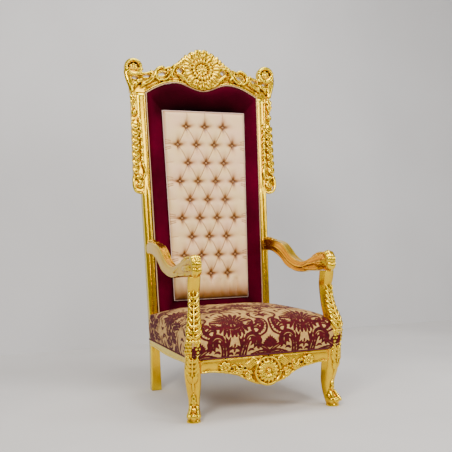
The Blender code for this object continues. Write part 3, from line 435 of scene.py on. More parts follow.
def markHollows(mesh):
    # How far each point lies below its neighbours: 0 on a ridge, 1 deep in a groove
    count = len(mesh.vertices)
    places, normals = np.empty(count * 3), np.empty(count * 3)
    mesh.vertices.foreach_get("co", places)
    mesh.vertices.foreach_get("normal", normals)
    places, normals = places.reshape(-1, 3), normals.reshape(-1, 3)
    edges = np.empty(len(mesh.edges) * 2, dtype=np.int64)
    mesh.edges.foreach_get("vertices", edges)
    a, b = edges.reshape(-1, 2).T
    degree = np.bincount(a, minlength=count) + np.bincount(b, minlength=count)

    def around(values):
        total = np.bincount(a, values[b], count) + np.bincount(b, values[a], count)
        return total / np.maximum(degree, 1)

    wide = places.copy()
    for _ in range(6):
        wide = np.stack([around(wide[:, i]) for i in range(3)], axis=1)
    depth = ((wide - places) * normals).sum(axis=1)
    for _ in range(2):
        depth = 0.5 * depth + 0.5 * around(depth)
    value = np.clip(0.4 + depth / 0.0028, 0.0, 1.0)
    layer = mesh.attributes.new("hollow", "FLOAT", "POINT")
    layer.data.foreach_set("value", value.astype(np.float32))


def addPiece(name, bm, finish, slotName, *nodes):
    mesh = bpy.data.meshes.new(name)
    bm.to_mesh(mesh)
    bm.free()
    mesh.materials.append(finish)
    piece = bpy.data.objects.new(name, mesh)
    bpy.context.scene.collection.objects.link(piece)
    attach(piece, "root")
    if nodes:
        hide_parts(*nodes)
    mesh.shade_smooth()
    return piece


def addCloth(name, bm, finish, slotName, node):
    bmesh.ops.recalc_face_normals(bm, faces=bm.faces)
    piece = addPiece(name, bm, finish, slotName, node)
    print(name, len(piece.data.polygons), "faces")


def carvePiece(name, bm, voxel, cuts, *nodes):
    # Merge overlapping strokes into one carved skin, soften it slightly and trim it flat at its joints
    piece = addPiece(name, bm, gold, "gilded_wood", *nodes)
    merge = piece.modifiers.new("merge", "REMESH")
    merge.mode = "VOXEL"
    merge.voxel_size = voxel * 1.0
    soften = piece.modifiers.new("soften", "SMOOTH")
    soften.factor = 0.4
    soften.iterations = 1
    graph = bpy.context.evaluated_depsgraph_get()
    rough, piece.data = piece.data, bpy.data.meshes.new_from_object(piece.evaluated_get(graph))
    piece.modifiers.clear()
    bpy.data.meshes.remove(rough)
    piece.data.name = name
    bm = bmesh.new()
    bm.from_mesh(piece.data)
    for point, outward in cuts:
        made = bmesh.ops.bisect_plane(bm, geom=bm.verts[:] + bm.edges[:] + bm.faces[:], plane_co=point,
                                      plane_no=outward, clear_outer=True)
        bmesh.ops.holes_fill(bm, edges=[item for item in made["geom_cut"] if isinstance(item, bmesh.types.BMEdge)])
    bm.to_mesh(piece.data)
    bm.free()
    markHollows(piece.data)
    piece.data.shade_smooth()
    print(name, len(piece.data.polygons), "faces")


bothSides = ((onBack, 1, "right"), (mirrored(onBack), -1, "left"))

# ---- crest rail
crest = dict(
    top=mm(0, 1790, 50, 1790, 85, 1768, 109, 1747, 130, 1728, 150, 1713, 170, 1705, 189, 1699, 210, 1690, 232, 1682,
           279, 1671, 300, 1665, 324, 1659, 345, 1664, 375, 1690, 402, 1684, 414, 1640, 404, 1600, 399, 1552, per=2),
    holes=((0.124, 1.681, 0.015, 0.012, -0.1), (0.223, 1.657, 0.023, 0.0085, -0.27),
           (0.306, 1.641, 0.022, 0.007, -0.16), (0.371, 1.629, 0.018, 0.007, 0.05)),
    rosette=(0.0, 1.689), finial=(0.378, 1.684), back=-0.034, lip=0.0045, reach=0.4, plate=1.7)


def crestTop(x):
    return eased(crest["top"], x)[0]


def crestSpot(u, w):
    x = (u * 2 - 1) * crest["reach"]
    inside = abs(x) < postInnerX(arch["corner"])
    bottom = max(archZ(x), build["joint"]) if inside else build["joint"]
    return x, bottom + (min(crestTop(abs(x)), crest["plate"]) - bottom) * w


def outsideHoles(x, z):
    for hx, hz, wide, tall, tilt in crest["holes"]:
        dx, dz = abs(x) - hx, z - hz
        across = dx * math.cos(tilt) + dz * math.sin(tilt)
        up = dz * math.cos(tilt) - dx * math.sin(tilt)
        if (across / wide) ** 2 + (up / tall) ** 2 < 1:
            return False
    return True


def makeCrest():
    bm = bmesh.new()
    corner = postInnerX(arch["corner"])

    def cove(u, w):
        # Wide smooth hollow above the velvet, then a second one under the top edge
        if abs(u * 2 - 1) * crest["reach"] > corner - 0.004:
            return 0.0015 + 0.0045 * w
        lower = -0.006 * math.sin(math.pi * min(1.0, w / 0.46)) ** 0.9
        return 0.006 + lower + 0.003 * max(0.0, (w - 0.8) / 0.2)

    slab(bm, 260, 44, lambda u, w, forward: onBack(*crestSpot(u, w), forward), crest["back"], cove,
         lambda u, w: outsideHoles(*crestSpot(u, w)))
    rosette = crest["rosette"]
    disc(bm, lambda x, y, z: onBack(x, rosette[1] + y, z - 0.012), 48, 0.104, 0.098, 0.04)
    for place, _, _ in bothSides:
        stroke = strokesOn(bm, place)
        # Thin lip beside the velvet
        stroke([(corner * (1 - k / 24), archZ(corner * (1 - k / 24)) + crest["lip"], 0.004) for k in range(25)],
               rod(0.0044, 0.0062, firm=30), 10, 60)
        # Flat raised border along the top edge, broken by the scrolls
        for start, end, thick in ((0.088, 0.17, 0.006), (0.176, 0.216, 0.0056), (0.262, 0.336, 0.0056)):
            stations = [start + (end - start) * k / 6 for k in range(7)]
            stroke([(x, crestTop(x) - 0.006, 0.007) for x in stations], rod(thick, 0.0075, firm=6), 10, 30)
        # Rims round the pierced openings
        for hx, hz, wide, tall, tilt in crest["holes"]:
            rim = []
            for k in range(13):
                across = (wide + 0.003) * math.cos(math.tau * k / 12)
                up = (tall + 0.003) * math.sin(math.tau * k / 12)
                rim.append((hx + across * math.cos(tilt) - up * math.sin(tilt),
                            hz + across * math.sin(tilt) + up * math.cos(tilt), 0.002))
            stroke(rim, rod(0.0034, 0.007, firm=40), 8, 36)
        # Scroll that loops over the band round the second opening
        stroke(mm(206, 1693, 6, 232, 1692, 11, 255, 1676, 14, 262, 1653, 14,
                  254, 1631, 13, 237, 1621, 12, 226, 1629, 10),
               rod(0.0086, 0.0105, 0.62), 14, 44)
        bead(bm, place(0.229, 1.63, 0.013), 0.0066, 0.8)
        stroke(mm(175, 1690, 8, 178, 1664, 10, 190, 1640, 11, 211, 1626, 10, 232, 1624, 6),
               rod(0.0066, 0.009, 0.8), 12, 36)
        stroke(mm(190, 1690, 6, 192, 1668, 7, 203, 1648, 6), rod(0.004, 0.0068), 10, 20)
        # Double-grooved strap round the third opening that runs down to the corner
        for shift, thick in ((-0.0052, 0.0056), (0.0052, 0.006)):
            strap = mm(283, 1671, 7, 275, 1646, 11, 290, 1620, 11, 316, 1604, 9, 338, 1588, 4)
            stroke([(x - shift * 0.7, z - shift, y) for x, z, y in strap], rod(thick, 0.009, 0.7), 12, 34)
        # Drooping tongue between the first two openings and the strand below the first
        stroke(mm(128, 1716, 8, 148, 1700, 11, 165, 1678, 13, 172, 1654, 12, 164, 1640, 9),
               rod(0.0088, 0.0095, 0.75), 14, 30)
        bead(bm, place(0.163, 1.643, 0.012), 0.0072, 0.8)
        stroke(mm(150, 1692, 8, 158, 1676, 10, 157, 1660, 7), rod(0.0036, 0.0068), 10, 16)
        stroke(mm(146, 1668, 6, 124, 1656, 11, 102, 1637, 12, 78, 1612, 11, 56, 1592, 6), rod(0.0092, 0.01), 14, 30)
        stroke(mm(136, 1664, 4, 112, 1636, 8, 96, 1622, 4), acanthus(0.0095, 0.01, 3), 16, 18)
        # Small leaves at the ends of the straps and along the band
        for points, width, height, lobes in (
                (mm(262, 1646, 5, 278, 1622, 8, 306, 1596, 3), 0.008, 0.009, 4),
                (mm(322, 1652, 6, 336, 1650, 12, 350, 1640, 6), 0.0085, 0.009, 2),
                (mm(330, 1622, 4, 346, 1612, 10, 362, 1594, 3), 0.0105, 0.011, 4),
                (mm(346, 1617, 4, 364, 1602, 11, 374, 1574, 3), 0.0115, 0.011, 4),
                (mm(376, 1612, 4, 386, 1592, 10, 386, 1564, 3), 0.0105, 0.01, 3),
                (mm(316, 1612, 4, 330, 1598, 9, 342, 1574, 3), 0.0085, 0.009, 3)):
            stroke(points, acanthus(width, height, lobes), 20, 22)
        # Overlapping tongues down the slope beside the rosette
        for x, lift, length in mm(92, 4, 34, 109, 2, 32, 126, 1, 28, 143, 0, 22, 158, -2, 16):
            z = crestTop(x) + lift
            stroke(((x - 0.016, z - length, 0.004), (x - 0.007, z - length * 0.42, 0.013), (x + 0.004, z, 0.008)),
                   spoon(0.01, 0.0115), 16, 14)
        for x, z in ((0.101, 1.716), (0.116, 1.708), (0.131, 1.7)):
            stroke(((x - 0.016, z - 0.01, 0.004), (x - 0.006, z - 0.001, 0.013), (x + 0.006, z + 0.008, 0.007)),
                   gadroon(0.0085, 0.0105, 0.2), 14, 12)
        # Finial: a cup with a scalloped rim, a deep hollow and a flower in it
        fx, fz = crest["finial"]
        disc(bm, lambda x, y, z: place(fx + x, fz + y, z - 0.016), 32, 0.046, 0.041, 0.024)
        bowl = [(fx + 0.0395 * math.cos(t), fz + 0.0385 * math.sin(t), 0.006)
                for t in [math.radians(215 * k / 20 - 25) for k in range(21)]]
        stroke(bowl, rod(0.0105, 0.015, firm=2.6), 16, 50)
        for k in range(8):
            turn = math.radians(192 + 21 * k)
            c, s = math.cos(turn), math.sin(turn)
            stroke([(fx + out * c, fz + out * s, lift)
                    for out, lift in ((0.02, 0.003), (0.037, 0.013), (0.05, 0.006))],
                   gadroon(0.0096, 0.012, 0.25), 16, 12)
        ringOf(bm, place, (fx, fz), 0.003, 6, 0.021, gadroon(0.0085, 0.012, 0.4), 0.5, 0.004, 0.001, 14, 10)
        bead(bm, place(fx, fz, 0.009), 0.0066)
        # Long smooth leaf from the cup's outer side down to the wing
        stroke(mm(420, 1678, 2, 413, 1628, 7, 398, 1582, 9, 387, 1540, 5), rod(0.0135, 0.013, 1.0, 2.0), 16, 24)
        stroke(mm(398, 1640, 4, 392, 1604, 12, 384, 1566, 8), rod(0.007, 0.009), 12, 20)
    # Rosette: two rings of petals round a cluster of beads
    ringOf(bm, onBack, rosette, 0.056, 15, 0.06, spoon(0.0208, 0.02), 0.25, 0.012, 0.006, 24, 16)
    ringOf(bm, onBack, rosette, 0.033, 19, 0.03, gadroon(0.008, 0.015, 0.0), 0.0, 0.012, 0.014, 14, 12)
    for reach, count, radius in ((0.026, 11, 0.0066), (0.0135, 6, 0.0062), (0.0, 1, 0.0075)):
        for k in range(count):
            angle = math.tau * k / count
            bead(bm, onBack(reach * math.cos(angle), rosette[1] + reach * math.sin(angle),
                            0.015 - reach * 0.15), radius)
    carvePiece("crestCarving", bm, 0.0027, (((0, 0, build["joint"] + 0.0003), (0, 0, -1)),), "crest_rail")


makeCrest()

# ---- back posts and their wings
wing = dict(bottom=1.02, outer=0.402, inside=mm(
    1020, 350, 1060, 342, 1110, 335, 1236, 334, 1362, 341, 1425, 358, 1480, 363, 1560, 366, per=2))


def makePost(place, word):
    # Below the wing two round beads with a groove between; beside the wing one broad smooth band with a fine line
    bm = bmesh.new()
    depth, width, foot = build["postDepth"], build["postWidth"], build["footWidth"]

    def front(s, z):
        if not 0 < s < 1:
            beads = -0.002
        else:
            beads = 0.006 * (math.sqrt(max(0.0, 1 - (s * 2 % 1 * 2 - 1) ** 2)) - 0.35)
        if z < build["rakeFrom"]:
            return 0.0 if 0 < s < 1 else -0.002
        cove = 0.0045 * max(0.0, math.sin(math.pi * s)) ** 0.45 - 0.002 - 0.0022 * math.exp(-((s - 0.13) / 0.035) ** 2)
        share = min(1.0, max(0.0, (z - wing["bottom"]) / 0.02))
        return beads * (1 - share) + cove * share

    rings = []
    for level in range(81):
        z = build["joint"] * level / 80
        inner, wide = postInnerX(z), width
        if z < build["railBottom"]:
            wide = foot - (foot - width) * z / build["railBottom"]
            inner = build["postInner"] + width - wide
        ring = [(inner, -depth), (inner, -0.003)]
        ring += [(inner + wide * (0.02 + 0.96 * k / 48), front(k / 48, z)) for k in range(49)]
        ring += [(inner + wide, -0.003), (inner + wide, -depth)]
        rings.append([bm.verts.new(place(x, z, forward)) for x, forward in ring])
    for lower, upper in zip(rings, rings[1:]):
        for k in range(len(lower)):
            bm.faces.new((lower[k - 1], lower[k], upper[k], upper[k - 1]))
    bm.faces.new(rings[0])
    bm.faces.new(rings[-1])
    bmesh.ops.recalc_face_normals(bm, faces=bm.faces)
    markHollows(addPiece("post_" + word, bm, gold, "gilded_wood", "back_post_" + word).data)


def makeWing(place, name):
    bm = bmesh.new()
    stroke = strokesOn(bm, place)

    def spot(u, w, forward):
        z = wing["bottom"] + 0.004 + (build["joint"] - wing["bottom"] - 0.004) * w
        inner = eased(wing["inside"], z)[0]
        outer = wing["outer"] - 0.006 - 0.014 * max(0.0, 1 - w * 14)
        return place(inner + (outer - inner) * u, z, forward)

    slab(bm, 24, 160, spot, -0.026, 0.0015)
    # Tongue leaf and round bead at the top
    stroke(mm(386, 1558, 3, 388, 1528, 10, 387, 1496, 14, 386, 1462, 6), acanthus(0.0175, 0.012, 3, 0.9), 24, 26)
    stroke(mm(377, 1505, 8, 380, 1486, 15, 387, 1472, 14, 395, 1486, 11, 397, 1502, 6), rod(0.0042, 0.006), 10, 20)
    bead(bm, place(0.384, 1.44, 0.008), 0.0175)
    # Outer column: overlapping scales, each with two rounded ribs that hang like a garland
    for k in range(7):
        foot = 1.352 - 0.0385 * k
        half = 0.02 - 0.0006 * k
        middle = 0.381 + 0.0006 * k
        stroke(((middle - 0.004, foot + 0.055, 0.0), (middle, foot + 0.026, 0.009), (middle + 0.002, foot, 0.004)),
               gadroon(half * 0.95, 0.009, 0.0), 20, 18)
        for up, size, thick in ((0.0, 1.0, 0.0044), (0.0145, 0.62, 0.0038)):
            hung = ((-1.0, 0.04, 0.004), (-0.82, 0.016, 0.012), (0.0, 0.0, 0.016),
                    (0.82, 0.016, 0.012), (1.0, 0.04, 0.004))
            stroke([(middle + half * size * a, foot + up + h * size, d) for a, h, d in hung],
                   rod(thick, 0.0052), 10, 26)
    # Inner column: smooth drops with a bead at each tip
    for k in range(6):
        top = 1.416 - 0.04 * k
        x = 0.353 - 0.002 * min(k, 3)
        stroke(((x + 0.008, top, 0.002), (x + 0.001, top - 0.024, 0.009), (x - 0.004, top - 0.05, 0.005)),
               gadroon(0.0092, 0.0095, 0.0), 14, 16)
        bead(bm, place(x - 0.003, top - 0.05, 0.008), 0.006)
    # Smooth leaf that swings round to the volute, and the large C-scroll that ends the wing
    stroke(mm(348, 1176, 4, 338, 1146, 9, 337, 1116, 9, 350, 1092, 6), rod(0.0095, 0.009, 0.8), 14, 26)
    stroke(winding(0.373, 1.103, 0.0165, 1.5, 110, 0.003, 0.013), rod(0.0062, 0.0085, 0.6), 12, 36)
    bead(bm, place(0.373, 1.103, 0.012), 0.0056)
    stroke(mm(392, 1120, 3, 399, 1090, 10, 399, 1055, 12, 390, 1030, 11, 370, 1020, 8, 350, 1022, 1),
           rod(0.0088, 0.01, 0.75), 14, 36)
    stroke(winding(0.368, 1.062, 0.0215, 1.3, 60, 0.002, 0.013), rod(0.0076, 0.0095, 0.55), 12, 36)
    bead(bm, place(0.368, 1.062, 0.012), 0.0066)
    carvePiece(name, bm, 0.0022, (((0, 0, build["joint"]), (0, 0, 1)),))


for place, _, word in bothSides:
    makePost(place, word)
    makeWing(place, "wingCarving_" + word)

# ---- front legs; each row is share of the height, outwards, back and width
leg = dict(profile=mm(
    0, 2, -2, 34, 22, 1, -6, 52, 50, 0, -6, 60, 85, -6, 8, 50, 135, -9, 15, 50, 190, -8, 13, 58, 260, -4, 4, 68,
    340, 0, -2, 72, 430, 1, -12, 70, 520, 2, -26, 68, 590, 2, -33, 67, 650, -2, -30, 64, 730, -9, -12, 56,
    810, -13, -1, 50, 890, -14, 2, 52, 930, -13, -4, 57, 1000, -13, -14, 58, per=4), leafHeading=20)


def legAt(share):
    out, behind, width = eased(leg["profile"], share)
    return build["legX"] + out, build["legY"] + behind, width


def squared(turn, power):
    # Reach of a rounded square at an angle
    return 1 / (abs(math.cos(turn)) ** power + abs(math.sin(turn)) ** power) ** (1 / power)


def makeLeg(side, word):
    bm = bmesh.new()
    middle = leg["leafHeading"]

    # First number: share of the height; second: heading in degrees, 0 straight ahead and positive outwards
    def skin(share, heading, lift):
        share = min(1.0, max(0.0, share))
        x, y, width = legAt(share)
        reach = width / 2 * squared(math.radians(heading - middle), 3.2) + lift
        turn = math.radians(heading)
        return Vector((side * (x + math.sin(turn) * reach), y - math.cos(turn) * reach, share * build["legTop"]))

    closed(bm, lambda u, w: skin(w, 360 * u, -0.0005), 56, 130)
    stroke = strokesOn(bm, skin)

    def plume(root, tip, count, spread, narrow, thick):
        # A leaf that rises from its root: a middle rib with pairs of ribs that sweep up and outwards
        stroke([(root + (tip - root) * s, middle, 0.0015 + 0.0025 * math.sin(math.pi * s)) for s in (0, 0.33, 0.66, 1)],
               rod(0.0046, 0.0078, 0.8), 12, 44)
        for k in range(count):
            s = k / count
            start = root + (tip - root) * (s * 0.92)
            reach = spread + (narrow - spread) * s
            climb = 0.05 + 0.022 * (1 - s)
            for out in (1, -1):
                stroke(((start, middle + out * 7, 0.0), (start + climb * 0.4, middle + out * reach * 0.62, 0.0035),
                        (start + climb, middle + out * reach, 0.0005)),
                       rod(thick * (1 - 0.3 * s), 0.0062, 0.6, 2.0), 12, 16)

    plume(0.58, 0.905, 8, 62, 40, 0.009)
    plume(0.32, 0.455, 4, 46, 30, 0.0085)
    # Drop-shaped lobes under the lower leaf, its long tip, and the leaf that rises from the toe
    for out in (1, -1):
        stroke(((0.345, middle + out * 22, 0.001), (0.315, middle + out * 18, 0.0045),
                (0.27, middle + out * 8, 0.0)),
               gadroon(0.0105, 0.006, 0.3), 16, 16)
    stroke(((0.33, middle, 0.0), (0.27, middle, 0.003), (0.205, middle, -0.001)), rod(0.006, 0.0045, 0.5), 12, 20)
    stroke(((0.105, middle, 0.002), (0.15, middle, 0.0045), (0.195, middle, 0.0)),
           acanthus(0.0105, 0.007, 3), 18, 20)
    # Low scales between the two leaves
    for row in range(4):
        for k in range(5):
            heading = middle - 44 + 22 * k + 11 * (row % 2)
            share = 0.562 - 0.024 * row
            stroke(((share + 0.016, heading, -0.001), (share, heading, 0.0022), (share - 0.016, heading, 0.0)),
                   gadroon(0.0068, 0.004, 0.0), 10, 8)
    # Scrolled toe: three round lobes with a leaf over them, on a thin foot plate
    x, y, _ = legAt(0.045)
    for heading, reach, radius in ((-34, 0.02, 0.0155), (74, 0.02, 0.0155), (20, 0.025, 0.0165)):
        turn = math.radians(heading)
        bead(bm, Vector((side * (x + math.sin(turn) * reach), y - math.cos(turn) * reach, 0.027)), radius)
    for heading in (-8, 48):
        stroke(((0.115, heading, 0.002), (0.075, heading, 0.009), (0.035, heading, 0.007)),
               rod(0.006, 0.006, 0.8), 12, 18)
    footX, footY, _ = legAt(0.0)
    disc(bm, lambda x, y, z: Vector((side * footX + x, footY - 0.006 + y, 0.005 + z)), 32, 0.031, 0.029, 0.01)
    cuts = (((0, 0, 0), (0, 0, -1)), ((0, 0, build["legTop"]), (0, 0, 1)))
    carvePiece("legCarving_" + word, bm, 0.0023, cuts, "front_leg_" + word)


for _, side, word in bothSides:
    makeLeg(side, word)

# ---- arms; rows run from the front end to the post
arm = dict(top=mm(0, 684, 40, 696, 150, 690, 250, 672, 360, 652, 460, 656, 545, 680, 610, 712, 670, 738, 760, 754,
                  880, 760, 1000, 766, per=2),
           height=mm(0, 46, 50, 72, 120, 78, 200, 74, 300, 56, 420, 54, 520, 64, 620, 88, 720, 78, 820, 62, 900, 60,
                     1000, 70, per=2),
           half=mm(0, 13.5, 50, 18, 150, 22.5, 400, 24.5, 800, 25, 1000, 20.5, per=2),
           knuckleY=-0.374, knuckleZ=0.6535, knuckleReach=0.042, knuckleRise=0.046)


def armMiddle(share):
    back = postInnerX(build["armBackZ"]) + build["postWidth"] / 2
    front = build["legX"] - 0.013
    return front + (back - front) * share + 0.006 * math.sin(math.pi * share)


def makeArm(side, word):
    bm = bmesh.new()
    length = backY(build["armBackZ"]) - build["armFront"]

    # First number: share of the length; second: degrees round the section, 0 on top, positive outwards
    def skin(share, around, lift):
        share = min(1.0, max(0.0, share))
        top, height, half = (eased(arm[key], share)[0] for key in ("top", "height", "half"))
        turn = math.radians(around)
        reach = squared(turn, 3.2)
        x = armMiddle(share) + math.sin(turn) * reach * (half + lift)
        z = top - height / 2 + math.cos(turn) * reach * (height / 2 + lift)
        return Vector((side * x, build["armFront"] + length * share, z))

    # First number: metres out from the arm's middle; second: degrees over the end, 0 on top and 90 in front
    def wrap(lane, over, lift):
        turn = math.radians(over)
        reach = squared(turn, 2.15)
        return Vector((side * (armMiddle(0.04) + lane),
                       arm["knuckleY"] - math.sin(turn) * (arm["knuckleReach"] * reach + lift),
                       arm["knuckleZ"] + math.cos(turn) * (arm["knuckleRise"] * reach + lift)))

    closed(bm, lambda u, w: skin(0.06 + 0.94 * w, 360 * u, -0.001), 44, 120)
    stroke = strokesOn(bm, skin)
    # Rounded mouldings: along the top, and two beads with a groove on each cheek
    for around, thick in ((36, 0.006), (-36, 0.006), (-84, 0.0052), (-132, 0.006), (132, 0.0045)):
        stroke([(0.15 + 0.82 * k / 12, around, -0.0022) for k in range(13)], rod(thick, thick, firm=14), 10, 90)
    # Ribs that wrap over the end like a furled leaf
    bead(bm, Vector((side * armMiddle(0.04), arm["knuckleY"], arm["knuckleZ"])), 0.04, 0.55, Vector((1.0, 0.0, 0.0)))
    for lane, thick, start, end in ((0.0, 0.006, -34, 168), (0.01, 0.0054, -26, 158), (-0.01, 0.0054, -26, 158),
                                    (0.0185, 0.0046, -14, 148), (-0.0185, 0.0046, -14, 148)):
        spots = [(lane * (1 - 0.1 * abs(k - 3) / 3), start + (end - start) * k / 8,
                  0.0022 * (-1) ** k - abs(lane) * 0.22) for k in range(9)]
        drawn(bm, wrap, spots, rod(thick, 0.0092, firm=2.4), 14, 48)
    # Leaf spur on top behind the end, curled leaves and a shallow incised curl on both cheeks
    stroke(((0.1, 0, 0.0), (0.17, 0, 0.005), (0.25, 0, 0.005), (0.33, 0, -0.001)),
           acanthus(0.0135, 0.0085, 5), 22, 30)
    for out in (1, -1):
        stroke(((0.06, 100 * out, 0.0), (0.125, 96 * out, 0.003), (0.2, 90 * out, -0.002)),
               acanthus(0.012, 0.006, 4), 18, 22)
        stroke(((0.27, 70 * out, -0.001), (0.34, 84 * out, 0.0005),
                (0.33, 112 * out, 0.0005), (0.27, 118 * out, -0.001)),
               rod(0.003, 0.0026), 8, 20)
    # Leaf with bright beads where the arm meets the post
    stroke(((0.985, 0, -0.001), (0.94, 0, 0.004), (0.88, 0, 0.005), (0.8, 0, -0.001)),
           acanthus(0.0165, 0.009, 5), 22, 28)
    for k in range(5):
        for around in (26, -26):
            bead(bm, skin(0.955 - 0.03 * k, around, 0.002), 0.0042)
    cuts = ((onBack(0, build["armBackZ"], 0.004), Vector((0, math.cos(build["rake"]), -math.sin(build["rake"])))),)
    carvePiece("armCarving_" + word, bm, 0.0026, cuts, "arm_" + word)


for _, side, word in bothSides:
    makeArm(side, word)

# ---- apron under the seat
apron = dict(low=mm(0, 130, 50, 139, 90, 155, 130, 178, 165, 190, 190, 196, 225, 201, 250, 205, 294.7, 204, per=2),
             holes=((0.107, 0.212, 0.01, 0.006), (0.166, 0.214, 0.009, 0.0055)), back=-0.03,
             medallion=(0.0, 0.194), flower=(0.199, 0.223))


def makeApron():
    bm = bmesh.new()
    reach = build["legInner"] + 0.008

    def spotAt(u, w):
        x = (u * 2 - 1) * reach
        low = eased(apron["low"], abs(x))[0]
        return x, low + (build["railTop"] - low) * w

    def solid(u, w):
        x, z = spotAt(u, w)
        return all(((abs(x) - hx) / wide) ** 2 + ((z - hz) / tall) ** 2 > 1 for hx, hz, wide, tall in apron["holes"])

    slab(bm, 220, 40, lambda u, w, forward: onApron(*spotAt(u, w), forward), apron["back"],
         lambda u, w: 0.0035 * math.sin(math.pi * w) ** 0.5, solid)
    for place in (onApron, mirrored(onApron)):
        stroke = strokesOn(bm, place)
        # Soft roll under the seat and a thin fillet along the lower edge out to the leg
        stroke([(-0.01 + (reach + 0.006) * k / 10, build["railTop"] - 0.0055, 0.0005) for k in range(11)],
               rod(0.0055, 0.0055, firm=20), 10, 60)
        stations = [0.1 + (reach - 0.102) * k / 10 for k in range(11)]
        stroke([(x, eased(apron["low"], x)[0] + 0.0045, 0.001) for x in stations], rod(0.0045, 0.0055, firm=14), 10, 50)
        # Flower with six round petals
        ringOf(bm, place, apron["flower"], 0.006, 6, 0.021, gadroon(0.01, 0.011, 0.35), 0.25, 0.008, 0.004, 16, 12)
        bead(bm, place(*apron["flower"], 0.012), 0.0066)
        # Leaves between and beside the openings
        for points, width, height, lobes in (
                (mm(120, 190, 3, 136, 204, 10, 150, 228, 3), 0.01, 0.009, 3),
                (mm(128, 188, 3, 146, 196, 9, 166, 202, 3), 0.0072, 0.008, 3),
                (mm(120, 200, 3, 122, 216, 9, 130, 234, 3), 0.0068, 0.008, 2),
                (mm(106, 172, 3, 86, 166, 9, 60, 146, 2), 0.01, 0.009, 4),
                (mm(112, 186, 3, 94, 184, 8, 70, 168, 2), 0.0082, 0.008, 3),
                (mm(98, 200, 3, 84, 196, 8, 68, 184, 2), 0.007, 0.007, 2),
                (mm(172, 226, 3, 160, 230, 7, 146, 226, 2), 0.0052, 0.007, 2)):
            stroke(points, acanthus(width, height, lobes), 20, 22)
        # Straight ribbon folds that slope up beside the medallion
        for k in range(4):
            out, up = 0.0088 * k * 0.62, 0.0088 * k
            stroke(((0.086 + out, 0.208 + up * 0.72, 0.003), (0.064 + out, 0.2265 + out, 0.006),
                    (0.046 + out, min(0.254, 0.2425 + up * 0.52), 0.003)), rod(0.004, 0.0048), 10, 18)
        # Small scroll bracket where the rail meets the leg
        stroke(mm(262, 212, 2, 276, 213, 5, 288, 206, 3), rod(0.0038, 0.0048), 10, 14)
    # Medallion: a broad smooth rim, a ring of petals and a boss
    middle = apron["medallion"]
    disc(bm, lambda x, y, z: onApron(x, middle[1] + y, z - 0.012), 40, 0.063, 0.06, 0.036)
    rim = [(0.059 * math.cos(math.tau * k / 24), middle[1] + 0.059 * math.sin(math.tau * k / 24), 0.005)
           for k in range(25)]
    drawn(bm, onApron, rim, rod(0.0068, 0.009, firm=60), 12, 72)
    ringOf(bm, onApron, middle, 0.009, 16, 0.042, gadroon(0.0092, 0.0125, 0.0), 0.0, 0.008, 0.006, 16, 16)
    bead(bm, onApron(*middle, 0.013), 0.0115)
    carvePiece("apronCarving", bm, 0.0022, (((0, 0, build["railTop"]), (0, 0, 1)),), "front_rail")


makeApron()

# ---- pieces left as the frame has them
for nodeName, finish in (("side_rail_left", gold), ("side_rail_right", gold), ("rear_seat_rail", gold),
                         ("outside_back", velvet)):
    materials = bpy.data.objects[nodeName].data.materials
    materials.clear()
    materials.append(finish)

# ---- damask seat
seat = dict(crown=0.446, half=0.344, sideBulge=0.012, frontBulge=0.034, edge=0.7)
weave = dict(wide=0.329, tall=0.64, axis=0.005, eye=-0.406, cell=0.001, far=0.012, grow=0.0012, thin=0.0001)


def woven(points, lobes=0, depth=0.0, shifted=False):
    # Samples along a smooth line of points (u, v, radius); shifted measures u from the half-drop axis
    line = through(*points)
    samples = []
    for k in range(41):
        share = k / 40
        u, v, size = line(share)
        wave = 1 + depth * math.cos(math.tau * lobes * share)
        samples.append((weave["wide"] / 2 - u if shifted else u, v, max(0.0004, size * wave)))
    return samples


